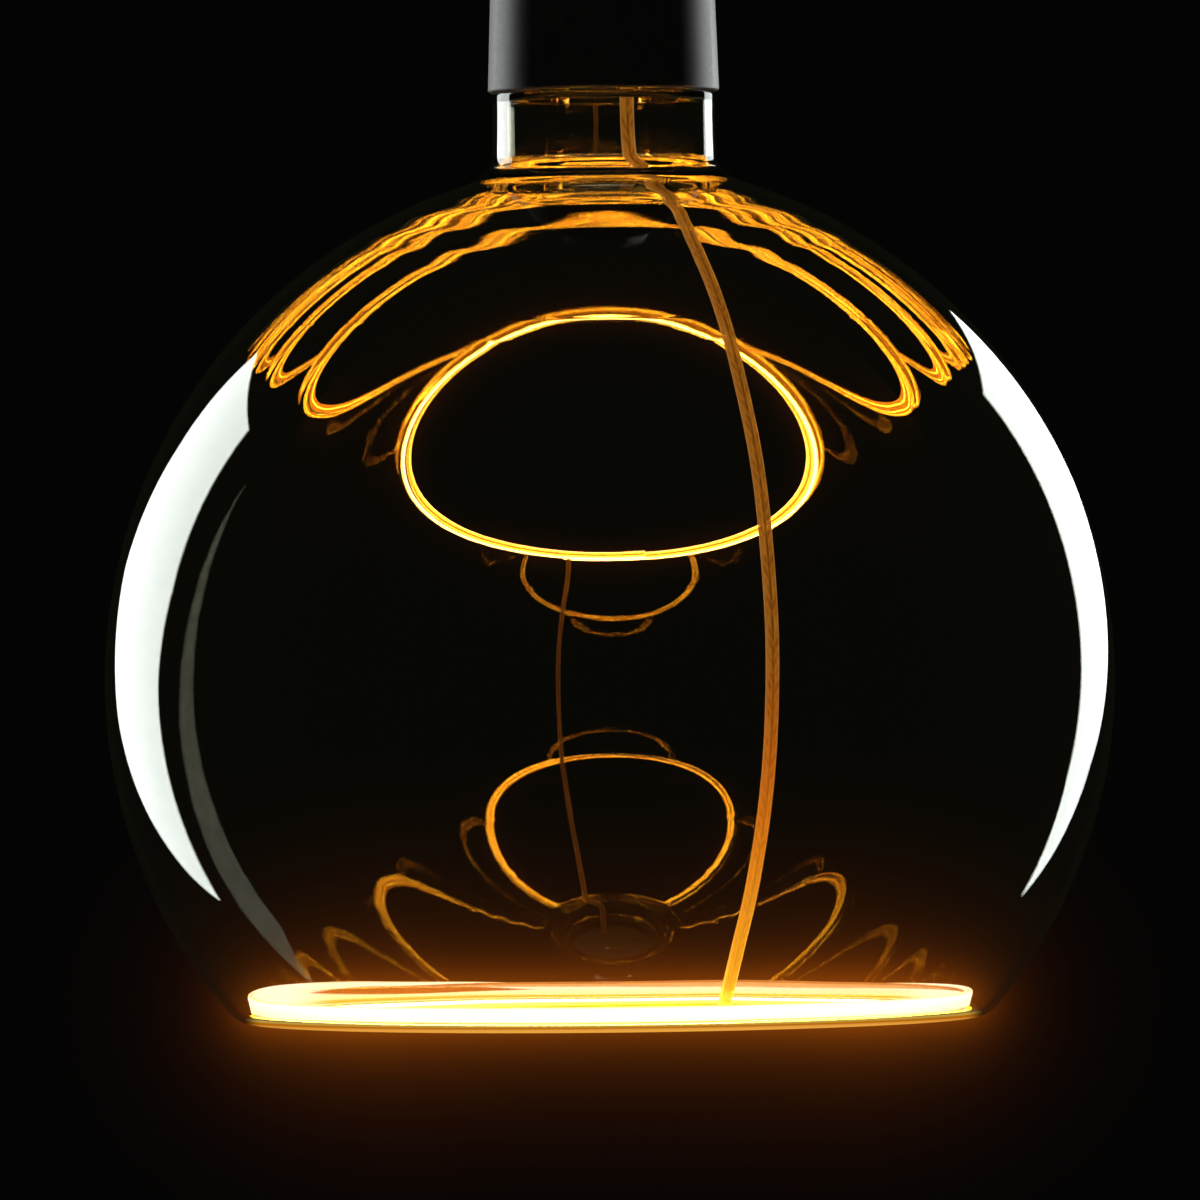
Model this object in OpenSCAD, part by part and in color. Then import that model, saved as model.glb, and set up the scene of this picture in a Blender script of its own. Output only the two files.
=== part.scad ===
// Large clear globe lamp with a light ring lying on its flat bottom, in millimetres.
// +Z is up with the screw cap on top, and the origin is the middle of the flat bottom.
// The front, where the lead runs down the glass, is -Y.

/* [Globe] */
// Outer radius of the ball of glass
globe_r = 75; // [65:1:90]
// Height of the centre of the ball over the flat bottom
ball_z = 50.4; // [44:0.1:58]
// Thickness of the blown glass
glass_wall = 1; // [0.7:0.1:1.3]
// Outer radius of the rounded edge between flat bottom and ball
base_fillet = 4.5; // [3:0.1:6]
// Outer radius of the neck
neck_r = 16.55; // [15:0.05:19]
// Outer radius of the flare between ball and neck
neck_flare = 5; // [3:0.1:8]
// Straight length of neck that shows under the collar
neck_len = 10.25; // [6:0.25:16]
// How far the glass steps in where the collar takes it
spigot_step = 0.95; // [0.5:0.05:1.5]
// Length of the glass spigot inside the collar
spigot_len = 12; // [8:0.5:16]

/* [Collar] */
// Thickness of the cement between glass spigot and collar
cement_gap = 0.3; // [0.15:0.05:0.5]
// Wall of the collar at its mouth
collar_wall = 1.25; // [0.9:0.05:2]
// Height of the drafted wall of the collar
collar_len = 26.3; // [22:0.1:32]
// Draft of the collar wall, in degrees
collar_draft = 1.9; // [0:0.1:3]
// Rounding of the lip at the mouth
lip_round = 0.5; // [0.2:0.1:0.8]
// Height of the rounded shoulder over the drafted wall
shoulder_h = 4.7; // [3:0.1:8]
// Radius of the plain nose under the cap
nose_r = 13.9; // [13.6:0.1:14.8]
// Length of the plain nose
nose_len = 3; // [2:0.5:6]
// Width of the ledge that the carrier plate meets
ledge_w = 1.2; // [0.8:0.1:1.6]
// Length of the collar's spigot inside the screw shell
cap_spigot_len = 12.3; // [9:0.1:15]
// Wall of that spigot
cap_spigot_wall = 1.55; // [1.2:0.05:2]

/* [Cap] */
// Radius over the crests of the thread
crest_r = 13.1; // [13:0.05:13.2]
// Depth of the rolled thread
thread_depth = 0.85; // [0.7:0.05:0.9]
// Rise of the thread in one turn
thread_pitch = 3.62; // [3.5:0.01:3.7]
// Height of the threaded part
thread_len = 16; // [13:0.5:18]
// Sheet thickness of the screw shell at a root
shell_wall = 0.35; // [0.25:0.05:0.4]
// How far the plain skirt of the shell stands out past the crests
skirt_step = 0.15; // [0:0.05:0.4]
// Height of the plain skirt
skirt_h = 3.2; // [2:0.1:5]
// Height of the rolled top of the shell over the thread
roll_h = 2.3; // [1.8:0.1:3]
// Radius of the hole in the rolled top
roll_r = 9.8; // [9:0.1:10.4]
// Height of the black insulator over the rolled top
insulator_h = 2.8; // [2:0.1:4]
// Radius of the insulator under the centre contact
insulator_top_r = 6.4; // [6:0.1:7]
// Radius of the centre contact
contact_r = 5.6; // [4.8:0.1:5.8]
// Thickness of the centre contact
contact_h = 1.3; // [0.8:0.1:1.6]
// Radius of the solder bead on the contact
bead_r = 1.9; // [1.4:0.1:2.2]
// Height of the solder bead
bead_h = 0.5; // [0.3:0.1:0.8]

/* [Light tape] */
// Height of the coated tape, which stands on edge
tape_h = 3; // [2.4:0.1:3.6]
// Thickness of the coated tape
tape_t = 1.3; // [1.2:0.05:1.6]
// Rounding of the coat's edges
coat_round = 0.6; // [0.3:0.05:0.6]
// How far the tape's outer face stands out past the flat of the glass
tape_reach = 0.2; // [-0.5:0.1:0.2]
// Clearance between the two layers where the ends overlap
lap_gap = 0.1; // [0.05:0.05:0.4]
// Angle over which the ends overlap
lap_angle = 30; // [10:1:60]
// Direction of the tape's first end, seen from above
start_angle = -75; // [-85:1:-60]
// Thickness of the printed strip inside the coat
strip_t = 0.2; // [0.15:0.05:0.25]
// Height of the printed strip
strip_h = 2.2; // [1.8:0.1:2.4]
// Distance from one light chip to the next
chip_pitch = 2.3; // [1.8:0.1:4]
// Width of a light chip along the tape
chip_w = 1.2; // [0.8:0.1:1.4]
// Height of a light chip
chip_h = 0.9; // [0.6:0.1:1.2]
// Thickness of a light chip
chip_t = 0.3; // [0.2:0.05:0.3]
// Angle that the moulded block at the first end takes
block_angle = 4.5; // [4:0.5:8]
// Angle that the plug at the last end takes
plug_angle = 1.5; // [1:0.5:4]

/* [Lead] */
// Width of the flat twin lead
lead_w = 2; // [1.8:0.1:2.4]
// Thickness of the flat twin lead
lead_t = 0.9; // [0.8:0.1:1.1]
// Diameter of one copper core
core_d = 0.5; // [0.3:0.05:0.5]
// Length of core inside the moulded block
core_in_block = 1.4; // [0.8:0.1:2]

/* [Driver] */
// Thickness of the carrier plate
plate_t = 1.6; // [1:0.1:2.5]
// Gap between the glass rim and the carrier plate
plate_gap = 0.8; // [0.4:0.1:1.2]
// Thickness of the driver board
board_t = 1; // [0.8:0.1:1.6]
// Half of the board's width at its foot
board_half = 12.5; // [11.5:0.1:13]
// Width of the tab that stands in the carrier plate
tab_w = 6; // [4:0.5:8]
// Depth of the rails that hold the board's edges
rail_w = 1.2; // [0.8:0.1:1.6]
// Diameter of the filter capacitor
can_d = 8; // [6:0.5:8]
// Length of the filter capacitor
can_len = 14; // [10:0.5:15]
// Diameter of the choke
choke_d = 7; // [5:0.5:7]
// Length of the choke
choke_len = 6; // [4:0.5:7]
// Width of the film capacitor
film_w = 6; // [4:0.5:6.5]
// Depth of the film capacitor
film_d = 4.5; // [3:0.5:5]
// Height of the film capacitor
film_h = 7.5; // [5:0.5:8]
// Diameter of the fuse resistor
fuse_d = 2.8; // [2:0.1:3.2]
// Length of the fuse resistor
fuse_len = 5.5; // [4:0.5:6]
// Width of a chip resistor
resistor_w = 2; // [1.6:0.1:2.4]
// Height of a chip resistor
resistor_h = 1.25; // [0.8:0.05:1.6]
// Thickness of a chip resistor
resistor_t = 0.5; // [0.3:0.05:0.6]
// Distance from one chip resistor to the next
resistor_pitch = 3.2; // [2.6:0.1:3.6]
// Width of the driver chip's body
chip_body_w = 3.9; // [3.5:0.1:4.2]
// Height of the driver chip's body
chip_body_h = 4.9; // [4.6:0.1:5.4]
// Width of the bridge rectifier's body
bridge_w = 3.8; // [3.4:0.1:4.2]
// Height of the bridge rectifier's body
bridge_h = 4.7; // [4:0.1:5]
// Width of the output diode's body
diode_w = 4.2; // [3.6:0.1:4.4]
// Height of the output diode's body
diode_h = 2.6; // [2.2:0.1:2.8]
// Diameter of component pins and bare wires
pin_d = 0.6; // [0.4:0.05:0.7]
// Diameter of the return wire that the shell traps
return_d = 0.7; // [0.5:0.05:0.8]

/* [Hidden] */
// The lead's middle line from the driver board to the carrier plate: x, y and height over the plate
HEAD_RUN = [[3, -3, 8.4], [3, -5, 8.2], [3, -7.6, 6.9], [3, -9.6, 4.1], [3.1, -10.9, -0.1]];
// The same down the neck, with heights over the collar's mouth
NECK_RUN = [
    [3.2, -12.1, 8.3], [3.3, -13, 2.3], [3.3, -13.9, -3.7], [3.5, -14, -8.7],
    [4.1, -13.6, -11.1], [6.4, -13.2, -13.9], [8.8, -14.6, -16.1]
];
// The same along the ball: degrees right of the front, degrees over its centre, and depth under its inner skin
BALL_RUN = [
    [25.7, 71.5, 1], [23.4, 67.5, 1.1], [20.7, 59, 1.5], [19.6, 49, 1.5], [18.9, 38, 1.3], [18.8, 24, 1.4],
    [18.5, 9, 1.2], [18.4, -2, 1.5], [18.1, -12.5, 1.6], [17.5, -23, 1.7], [16.7, -32, 1.6]
];
// The same down to the tape: degrees right of the front, distance out from the tape, and height over it
FOOT_RUN = [[16.8, 4.4, 3.6], [17.2, 1.2, 1.2], [17.4, 0, 0]];
// Sections between one point of the lead and the next
LEAD_STEPS = 3;

// Running clearances
slide_fit = 0.1;
strip_fit = 0.05;
wire_fit = 0.2;
shell_fit = 0.15;

// Heights, from the flat bottom up
corner_r = sqrt(pow(globe_r - base_fillet, 2) - pow(ball_z - base_fillet, 2));
flare_r = neck_r + neck_flare;
flare_z = ball_z + sqrt(pow(globe_r + neck_flare, 2) - pow(flare_r, 2));
mouth_z = flare_z + neck_len;
rim_z = mouth_z + spigot_len;
plate_z = rim_z + plate_gap;
plate_top = plate_z + plate_t;
wall_top = mouth_z + collar_len;
nose_z = wall_top + shoulder_h;
cap_seat = nose_z + nose_len;
cap_spigot_top = cap_seat + cap_spigot_len;
thread_z = cap_seat + skirt_h;
roll_z = thread_z + thread_len;
shell_top = roll_z + roll_h;
insulator_top = shell_top + insulator_h;
contact_top = insulator_top + contact_h;

// Radii of what fits together
spigot_r = neck_r - spigot_step;
collar_bore = spigot_r + cement_gap;
mouth_r = collar_bore + collar_wall;
wall_top_r = mouth_r - collar_len * tan(collar_draft);
cavity_r = collar_bore - ledge_w;
root_r = crest_r - thread_depth;
skirt_r = crest_r + skirt_step;
shell_bore = root_r - shell_wall;
cap_spigot_r = shell_bore - shell_fit;
throat_r = cap_spigot_r - cap_spigot_wall;
taper_z = wall_top - 1;
throat_z = nose_z + 1.3;

// The tape's coil: an arc of 180 degrees, a second one drawn in by half a layer, and the overlap
tape_r = corner_r + tape_reach - tape_t / 2;
tape_z = glass_wall;
draw_in = (tape_t + lap_gap) / 2;
chip_gap = 0.05;

// Places on the driver board
board_top = cap_spigot_top - 2;
board_neck_half = throat_r - 1.3;
board_face = board_t / 2;
can_z = plate_top + 8;
can_y = board_face + can_d / 2 + 0.3;
choke_x = 5 - board_half;
choke_z = plate_top + choke_d / 2 + 1;
film_x = board_half - 4.9;
film_z = plate_top + 1;
fuse_z = board_top + 1.2;
fuse_lead_end = contact_top - 0.4;
insulator_hole = pin_d / 2 + wire_fit;
leg_w = 0.45;
stand_off = 0.1;
chip_x = 7 - board_half;
chip_z = plate_top + 6;
diode_x = board_half - 4.3;
diode_z = plate_top + 4.5;
bridge_z = throat_z + 2.5;
resistor_row_low = plate_top + 1.2;
resistor_row_high = cap_spigot_top - 5;
resistor_row_x = 3 - board_half;

// The return wire's bend over the edge of the spigot
return_out_r = shell_bore - slide_fit / 2 - return_d / 2;
return_in_r = board_neck_half + strip_fit + return_d / 2;
bend_r = (return_out_r - return_in_r) / 2;
bend_z = cap_spigot_top + return_d / 2 + 0.3;
return_len_out = 6;
return_len_in = 9;

// Points on an arc from angle a to angle b
function arc(x, y, r, a, b, steps) = [
    for (i = [0 : steps]) let (t = a + (b - a) * i / steps) [x + r * cos(t), y + r * sin(t)]
];

function unit(v) = v / norm(v);

// A smooth curve through four points, t from 0 to 1 between the middle two
function spline(a, b, c, d, t) =
    0.5 * (2 * b + (c - a) * t + (2 * a - 5 * b + 4 * c - d) * t * t
    + (3 * b - a - 3 * c + d) * t * t * t);

// The lead's middle line, all four runs joined
LEAD = concat(
    [for (p = HEAD_RUN) [p[0], p[1], plate_top + p[2]]],
    [for (p = NECK_RUN) [p[0], p[1], mouth_z + p[2]]],
    [for (p = BALL_RUN) let (r = globe_r - glass_wall - p[2])
        [r * cos(p[1]) * sin(p[0]), -r * cos(p[1]) * cos(p[0]), ball_z + r * sin(p[1])]],
    [for (p = FOOT_RUN) let (r = tape_r + p[1])
        [r * sin(p[0]), -r * cos(p[0]), tape_z + tape_h + p[2]]]
);

// The point at place i + t along the lead
function lead_point(i, t) =
    let (last = len(LEAD) - 1)
    spline(LEAD[max(i - 1, 0)], LEAD[i], LEAD[min(i + 1, last)], LEAD[min(i + 2, last)], t);

// A solid swept through rings of points, one ring after another
module sweep(rings) {
    n = len(rings[0]);
    m = len(rings);
    polyhedron(
        points = [for (ring = rings) for (p = ring) p],
        faces = concat(
            [[for (j = [0 : n - 1]) j]],
            [for (i = [0 : m - 2]) for (j = [0 : n - 1]) [i * n + j, (i + 1) * n + j, i * n + (j + 1) % n]],
            [for (i = [0 : m - 2]) for (j = [0 : n - 1])
                [i * n + (j + 1) % n, (i + 1) * n + j, (i + 1) * n + (j + 1) % n]],
            [[for (j = [n - 1 : -1 : 0]) (m - 1) * n + j]]
        )
    );
}

module tube(outer, inner, low, high) {
    difference() {
        translate([0, 0, low]) cylinder(h = high - low, r = outer, $fn = 128);
        translate([0, 0, low - 1]) cylinder(h = high - low + 2, r = inner, $fn = 128);
    }
}

// A wire of circular section between two heights
module upright(x, y, low, high, d) {
    translate([x, y, low]) cylinder(h = high - low, d = d, $fn = 24);
}

// A wire of circular section from one depth to another
module level(x, z, near, far, d) {
    translate([x, near, z]) rotate([-90, 0, 0]) cylinder(h = far - near, d = d, $fn = 24);
}

// Half section of the globe, drawn inset from its outer skin
module globe_half(inset, top) {
    ball = globe_r - inset;
    corner_top = ball_z - (ball_z - base_fillet) * ball / (globe_r - base_fillet);
    flare_low = ball_z + (flare_z - ball_z) * ball / (globe_r + neck_flare);
    intersection() {
        translate([0, ball_z]) circle(ball, $fn = 240);
        translate([0, corner_top]) square([globe_r, 2 * globe_r]);
    }
    translate([0, inset]) square([corner_r, corner_top - inset + 0.01]);
    intersection() {
        translate([corner_r, base_fillet]) circle(base_fillet - inset, $fn = 120);
        translate([0, inset]) square([globe_r, corner_top - inset]);
    }
    difference() {
        translate([0, flare_low - 0.01]) square([flare_r, flare_z - flare_low + 0.01]);
        translate([flare_r, flare_z]) circle(neck_flare + inset, $fn = 120);
    }
    translate([0, flare_z - 0.01]) square([neck_r - inset, neck_len - inset + 0.01]);
    translate([0, mouth_z - inset - 0.01]) square([spigot_r - inset, top - mouth_z + inset + 0.01]);
}

module glass_globe() {
    color([0.93, 0.9, 0.78, 0.35])
    rotate_extrude($fn = 180) difference() {
        globe_half(0, rim_z);
        globe_half(glass_wall, rim_z + 1);
    }
}

// The cement stands clear of both ends of the joint
module neck_cement() {
    color([0.3, 0.29, 0.27]) tube(collar_bore, spigot_r, mouth_z + 1.5, rim_z - 1);
}

// Outline of the collar, mouth first, then the outside up to the spigot and back down inside
function collar_outline() = concat(
    [[collar_bore, mouth_z], [mouth_r - lip_round, mouth_z]],
    arc(mouth_r - lip_round, mouth_z + lip_round, lip_round, -75, 0, 5),
    [for (i = [0 : 8]) let (t = 90 * i / 8)
        [nose_r + (wall_top_r - nose_r) * cos(t), wall_top + shoulder_h * sin(t)]],
    [[nose_r, cap_seat], [cap_spigot_r, cap_seat], [cap_spigot_r, cap_spigot_top - 0.5],
    [cap_spigot_r - 0.5, cap_spigot_top], [throat_r, cap_spigot_top], [throat_r, throat_z],
    [cavity_r, taper_z], [cavity_r, plate_top], [collar_bore, plate_top]]
);

module collar() {
    color([0.07, 0.07, 0.075]) difference() {
        union() {
            rotate_extrude($fn = 128) polygon(collar_outline());
            // rails on both sides of the board's edges
            for (side = [-1, 1], face = [-1, 1]) intersection() {
                translate([side * (board_half + cavity_r) / 2, face * (board_face + slide_fit + rail_w / 2),
                    (plate_top + taper_z) / 2 + 0.5])
                    cube([cavity_r - board_half + 2 * rail_w, rail_w, taper_z - plate_top - 1], center = true);
                translate([0, 0, plate_top]) cylinder(h = collar_len, r = cavity_r + 0.3, $fn = 128);
            }
        }
        // groove that the return wire lies in
        translate([-cap_spigot_r, 0, cap_spigot_top - return_len_out / 2 - 0.2])
            cube([2 * (cap_spigot_r - return_out_r) + return_d + 2 * slide_fit,
                return_d + 2 * wire_fit, return_len_out + 0.8], center = true);
    }
}

// The hole for the lead lies where the lead passes the plate
module carrier_plate() {
    passing = HEAD_RUN[len(HEAD_RUN) - 1];
    color([0.14, 0.14, 0.15]) difference() {
        translate([0, 0, plate_z]) cylinder(h = plate_t, r = collar_bore - slide_fit, $fn = 128);
        translate([-tab_w / 2 - slide_fit, -board_face - slide_fit, plate_z - 1])
            cube([tab_w + 2 * slide_fit, board_t + 2 * slide_fit, plate_t + 2]);
        for (side = [-1, 1])
            translate([passing[0] + side * (lead_w - lead_t) / 2, passing[1], plate_z - 1])
                cylinder(h = plate_t + 2, d = lead_t + 5 * wire_fit, $fn = 32);
        translate([passing[0] - (lead_w - lead_t) / 2, passing[1] - lead_t / 2 - 2.5 * wire_fit, plate_z - 1])
            cube([lead_w - lead_t, lead_t + 5 * wire_fit, plate_t + 2]);
        // vents
        for (a = [30, 150, 210])
            rotate([0, 0, a]) translate([collar_bore - 5, 0, plate_z - 1])
                cylinder(h = plate_t + 2, d = 3, $fn = 32);
    }
}

// How much of the thread's depth there is at height z over the skirt, run in and out over half a turn
function thread_share(z) = max(0, min(1, 2 * z / thread_pitch, 2 * (thread_len - z) / thread_pitch));

// Radius of the rolled thread at height z over the skirt and at an angle
function thread_r(z, angle) =
    let (middle = (crest_r + root_r) / 2)
    middle + (crest_r - root_r) / 2 * cos(angle - 360 * z / thread_pitch) * thread_share(z);

// The shell is sheet metal: outside up, over the rolled top, and down the plain bore
module screw_shell() {
    sides = 36;
    levels = round(6 * thread_len / thread_pitch);
    function plain(r, z) = [for (j = [0 : sides - 1]) let (a = 360 * j / sides) [r * cos(a), r * sin(a), z]];
    function threaded(z) = [for (j = [0 : sides - 1]) let (a = 360 * j / sides, r = thread_r(z, a))
        [r * cos(a), r * sin(a), thread_z + z]];
    middle = (crest_r + root_r) / 2;
    rings = concat(
        [plain(skirt_r, cap_seat), plain(skirt_r, thread_z - 0.7), plain(middle, thread_z - 0.1)],
        [for (i = [0 : levels]) threaded(0.1 + (thread_len - 0.2) * i / levels)],
        [for (t = [0 : 22.5 : 90])
            plain(roll_r + 0.4 + (middle - roll_r - 0.4) * cos(t), roll_z + roll_h * sin(t))],
        [plain(roll_r, shell_top - shell_wall / 2), plain(roll_r + 0.4, shell_top - shell_wall)],
        [for (t = [67.5 : -22.5 : 0])
            plain(roll_r + 0.4 + (shell_bore - roll_r - 0.4) * cos(t),
                roll_z - shell_wall + roll_h * sin(t))],
        [plain(shell_bore, cap_seat)]
    );
    m = len(rings);
    color("silver") polyhedron(
        points = [for (ring = rings) for (p = ring) p],
        faces = [for (i = [0 : m - 1]) for (j = [0 : sides - 1]) for (half = [0, 1])
            let (k = (i + 1) % m, n = (j + 1) % sides)
            half == 0 ? [i * sides + j, k * sides + j, i * sides + n]
                : [i * sides + n, k * sides + j, k * sides + n]]
    );
}

// The flange lies under the rolled top and the cone rises through its hole
module cap_insulator() {
    flange_r = shell_bore - shell_fit;
    flange_low = roll_z - 1.6;
    neck = roll_r - shell_fit;
    color([0.05, 0.05, 0.06]) rotate_extrude($fn = 96) polygon(concat(
        [[insulator_hole, flange_low], [flange_r, flange_low], [flange_r, roll_z - shell_wall - 0.2],
        [flange_r - 0.6, roll_z - shell_wall + 0.6], [neck, roll_z - shell_wall + 1.2], [neck, shell_top]],
        [for (i = [1 : 6]) let (t = i / 6)
            [neck - (neck - insulator_top_r) * t, shell_top + insulator_h * (t + 0.16 * sin(180 * t))]],
        [[insulator_hole, insulator_top]]
    ));
}

module centre_contact() {
    color([0.8, 0.78, 0.72]) rotate_extrude($fn = 64) polygon(concat(
        [[insulator_hole, insulator_top], [contact_r, insulator_top]],
        [for (t = [0 : 15 : 75])
            [insulator_hole + 1 + (contact_r - insulator_hole - 1) * cos(t),
            insulator_top + 0.3 + (contact_h - 0.3) * sin(t)]],
        [[insulator_hole, contact_top]]
    ));
}

module contact_bead() {
    ball = (bead_r * bead_r + bead_h * bead_h) / (2 * bead_h);
    color([0.75, 0.75, 0.76]) intersection() {
        translate([0, 0, contact_top + bead_h - ball]) sphere(ball, $fn = 96);
        translate([0, 0, contact_top]) cylinder(h = 2 * bead_h, r = bead_r, $fn = 64);
    }
}

// The coated tape's outline, square to its run
module coat_outline() {
    side = tape_t / 2 - coat_round;
    top = tape_h - coat_round;
    polygon(concat(
        arc(side, coat_round, coat_round, -90, 0, 3), arc(side, top, coat_round, 0, 90, 3),
        arc(-side, top, coat_round, 90, 180, 3), arc(-side, coat_round, coat_round, 180, 270, 3)
    ));
}

// Runs a section along the tape: the first half turn, the drawn-in half turn and the overlap
module along_tape() {
    translate([0, 0, tape_z]) {
        rotate([0, 0, start_angle - 180])
            rotate_extrude(angle = 180, $fn = 180) translate([tape_r, 0]) children();
        translate([-draw_in * cos(start_angle), -draw_in * sin(start_angle), 0])
            rotate([0, 0, start_angle])
                rotate_extrude(angle = 180, $fn = 180) translate([tape_r - draw_in, 0]) children();
        rotate([0, 0, start_angle - lap_angle])
            rotate_extrude(angle = lap_angle, $fn = 180) translate([tape_r - 2 * draw_in, 0]) children();
    }
}

// The coat has one channel for the printed strip and one for the row of chips on it
module tape_coat() {
    color([1, 0.75, 0.3]) along_tape() difference() {
        coat_outline();
        translate([-strip_t / 2 - strip_fit, (tape_h - strip_h) / 2 - strip_fit])
            square([strip_t + 2 * strip_fit, strip_h + 2 * strip_fit]);
        translate([0, (tape_h - chip_h) / 2 - strip_fit])
            square([strip_t / 2 + chip_t + chip_gap, chip_h + 2 * strip_fit]);
    }
}

module tape_strip() {
    color([0.9, 0.85, 0.75]) along_tape()
        translate([-strip_t / 2, (tape_h - strip_h) / 2]) square([strip_t, strip_h]);
}

// Chips stand on the outer face of the strip, evenly along one arc of it
module chips_on(centre, radius, from, sweep_angle) {
    count = floor(radius * sweep_angle * PI / 180 / chip_pitch);
    translate([centre[0], centre[1], tape_z + (tape_h - chip_h) / 2])
        for (i = [0 : count - 1])
            rotate([0, 0, from + (i + 0.5) * sweep_angle / count])
                translate([radius + strip_t / 2, -chip_w / 2, 0]) cube([chip_t, chip_w, chip_h]);
}

module light_chips() {
    shifted = [-draw_in * cos(start_angle), -draw_in * sin(start_angle)];
    color([1, 0.95, 0.6]) {
        chips_on([0, 0], tape_r, start_angle - 180, 180);
        chips_on(shifted, tape_r - draw_in, start_angle, 180);
        chips_on([0, 0], tape_r - 2 * draw_in, start_angle - lap_angle, lap_angle);
    }
}

// Places of the two cores either side of the lead's middle line, along the tape
function core_places() =
    let (p = LEAD[len(LEAD) - 1], side = unit([-p[1], p[0]]) * (lead_w - lead_t) / 2)
    [[p[0] - side[0], p[1] - side[1]], [p[0] + side[0], p[1] + side[1]]];

// The block at the first end takes the lead from above, and the last end has a plain plug
module tape_ends() {
    color([1, 0.7, 0.25]) {
        difference() {
            translate([0, 0, tape_z]) rotate([0, 0, start_angle])
                rotate_extrude(angle = block_angle, $fn = 180) translate([tape_r, 0]) coat_outline();
            for (p = core_places())
                translate([p[0], p[1], tape_z + tape_h - core_in_block])
                    cylinder(h = core_in_block + 1, d = core_d + slide_fit, $fn = 24);
        }
        translate([0, 0, tape_z]) rotate([0, 0, start_angle - lap_angle - plug_angle])
            rotate_extrude(angle = plug_angle, $fn = 180) translate([tape_r - 2 * draw_in, 0]) coat_outline();
    }
}

// The lead lies flat to the glass: its width runs round the axis of the globe
module supply_lead() {
    last = len(LEAD) - 1;
    middle = concat(
        [for (i = [0 : last - 1]) for (s = [0 : LEAD_STEPS - 1]) lead_point(i, s / LEAD_STEPS)],
        [LEAD[last]]
    );
    count = len(middle) - 1;
    twin = [[0.5, 0], [0.27, 0.5], [0, 0.3], [-0.27, 0.5], [-0.5, 0], [-0.27, -0.5], [0, -0.3], [0.27, -0.5]];
    color([0.72, 0.4, 0.16]) sweep([
        for (i = [0 : count])
            let (
                p = middle[i],
                ahead = i == 0 ? [0, -1, 0] : i == count ? [0, 0, -1]
                    : unit(middle[i + 1] - middle[i - 1]),
                round_axis = i < 3 * LEAD_STEPS ? [1, 0, 0] : unit([-p[1], p[0], 0]),
                flat_side = unit(round_axis - ahead * (round_axis * ahead)),
                thick_side = cross(ahead, flat_side)
            )
            [for (q = twin) p + flat_side * q[0] * lead_w + thick_side * q[1] * lead_t]
    ]);
}

// Bare ends of the two cores: two meet the board and two stand in the block on the tape
module lead_cores() {
    top = LEAD[0];
    color([0.85, 0.5, 0.3]) {
        for (side = [-1, 1])
            level(top[0] + side * (lead_w - lead_t) / 2, top[2], top[1], -board_face, core_d);
        for (p = core_places())
            upright(p[0], p[1], tape_z + tape_h - core_in_block, tape_z + tape_h, core_d);
    }
}

// One cone of solder round each core on the face of the board
module lead_solder() {
    top = LEAD[0];
    cone_r = (lead_w - lead_t) / 2 - slide_fit / 2;
    color([0.75, 0.75, 0.76])
        for (side = [-1, 1])
            translate([top[0] + side * (lead_w - lead_t) / 2, -board_face, top[2]]) rotate([90, 0, 0])
                difference() {
                    cylinder(h = 0.7, r1 = cone_r, r2 = core_d / 2 + 0.1, $fn = 32);
                    translate([0, 0, -0.1]) cylinder(h = 1, d = core_d, $fn = 24);
                }
}

// The board stands upright: a wide foot in the collar and a narrow neck inside the cap
module driver_board() {
    notch = pin_d / 2 + slide_fit;
    color([0.12, 0.4, 0.2]) rotate([90, 0, 0]) linear_extrude(board_t, center = true) difference() {
        polygon([
            [-tab_w / 2, plate_z], [tab_w / 2, plate_z], [tab_w / 2, plate_top], [board_half, plate_top],
            [board_half, taper_z - 1], [board_neck_half, throat_z - 3], [board_neck_half, board_top],
            [-board_neck_half, board_top], [-board_neck_half, throat_z - 3], [-board_half, taper_z - 1],
            [-board_half, plate_top], [-tab_w / 2, plate_top]
        ]);
        translate([-notch, board_top - 2]) square([2 * notch, 3]);
    }
}

// A bent leg, from a package's side down to the board, drawn with the board at zero
module bent_leg(reach, height) {
    translate([0, leg_w / 2, 0]) rotate([90, 0, 0]) linear_extrude(leg_w) polygon([
        [-0.2, height], [0.25 * reach, height], [0.5 * reach, 0.2], [reach, 0.2], [reach, 0],
        [0.4 * reach, 0], [0.15 * reach, height - 0.2], [-0.2, height - 0.2]
    ]);
}

// A flat package on the board's front face, with rows of legs left and right
module package(x, z, w, h, t, rows, row_pitch, reach) {
    translate([x, -board_face, z]) rotate([90, 0, 0]) {
        translate([-w / 2, -h / 2, stand_off]) cube([w, h, t]);
        for (side = [0, 180], i = [0 : rows - 1])
            rotate([0, 0, side]) translate([w / 2, (i - (rows - 1) / 2) * row_pitch, 0])
                bent_leg(reach, stand_off + t / 2);
    }
}

module driver_chip() {
    color([0.1, 0.1, 0.1]) package(chip_x, chip_z, chip_body_w, chip_body_h, 1.4, 4, 1.27, 1.05);
}

module bridge_rectifier() {
    color([0.1, 0.1, 0.1]) package(0, bridge_z, bridge_w, bridge_h, 2.4, 2, 2.54, 1.3);
}

module output_diode() {
    color([0.15, 0.15, 0.15]) package(diode_x, diode_z, diode_w, diode_h, 2, 1, 1, 0.7);
}

// Six chip resistors as bare blocks, each by itself
module chip_resistors() {
    color([0.2, 0.2, 0.2]) for (i = [0 : 2]) {
        translate([resistor_row_x + resistor_pitch * i, -board_face - resistor_t, resistor_row_low])
            cube([resistor_w, resistor_t, resistor_h]);
        translate([(i - 1) * resistor_pitch - resistor_w / 2, -board_face - resistor_t, resistor_row_high])
            cube([resistor_w, resistor_t, resistor_h]);
    }
}

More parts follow.
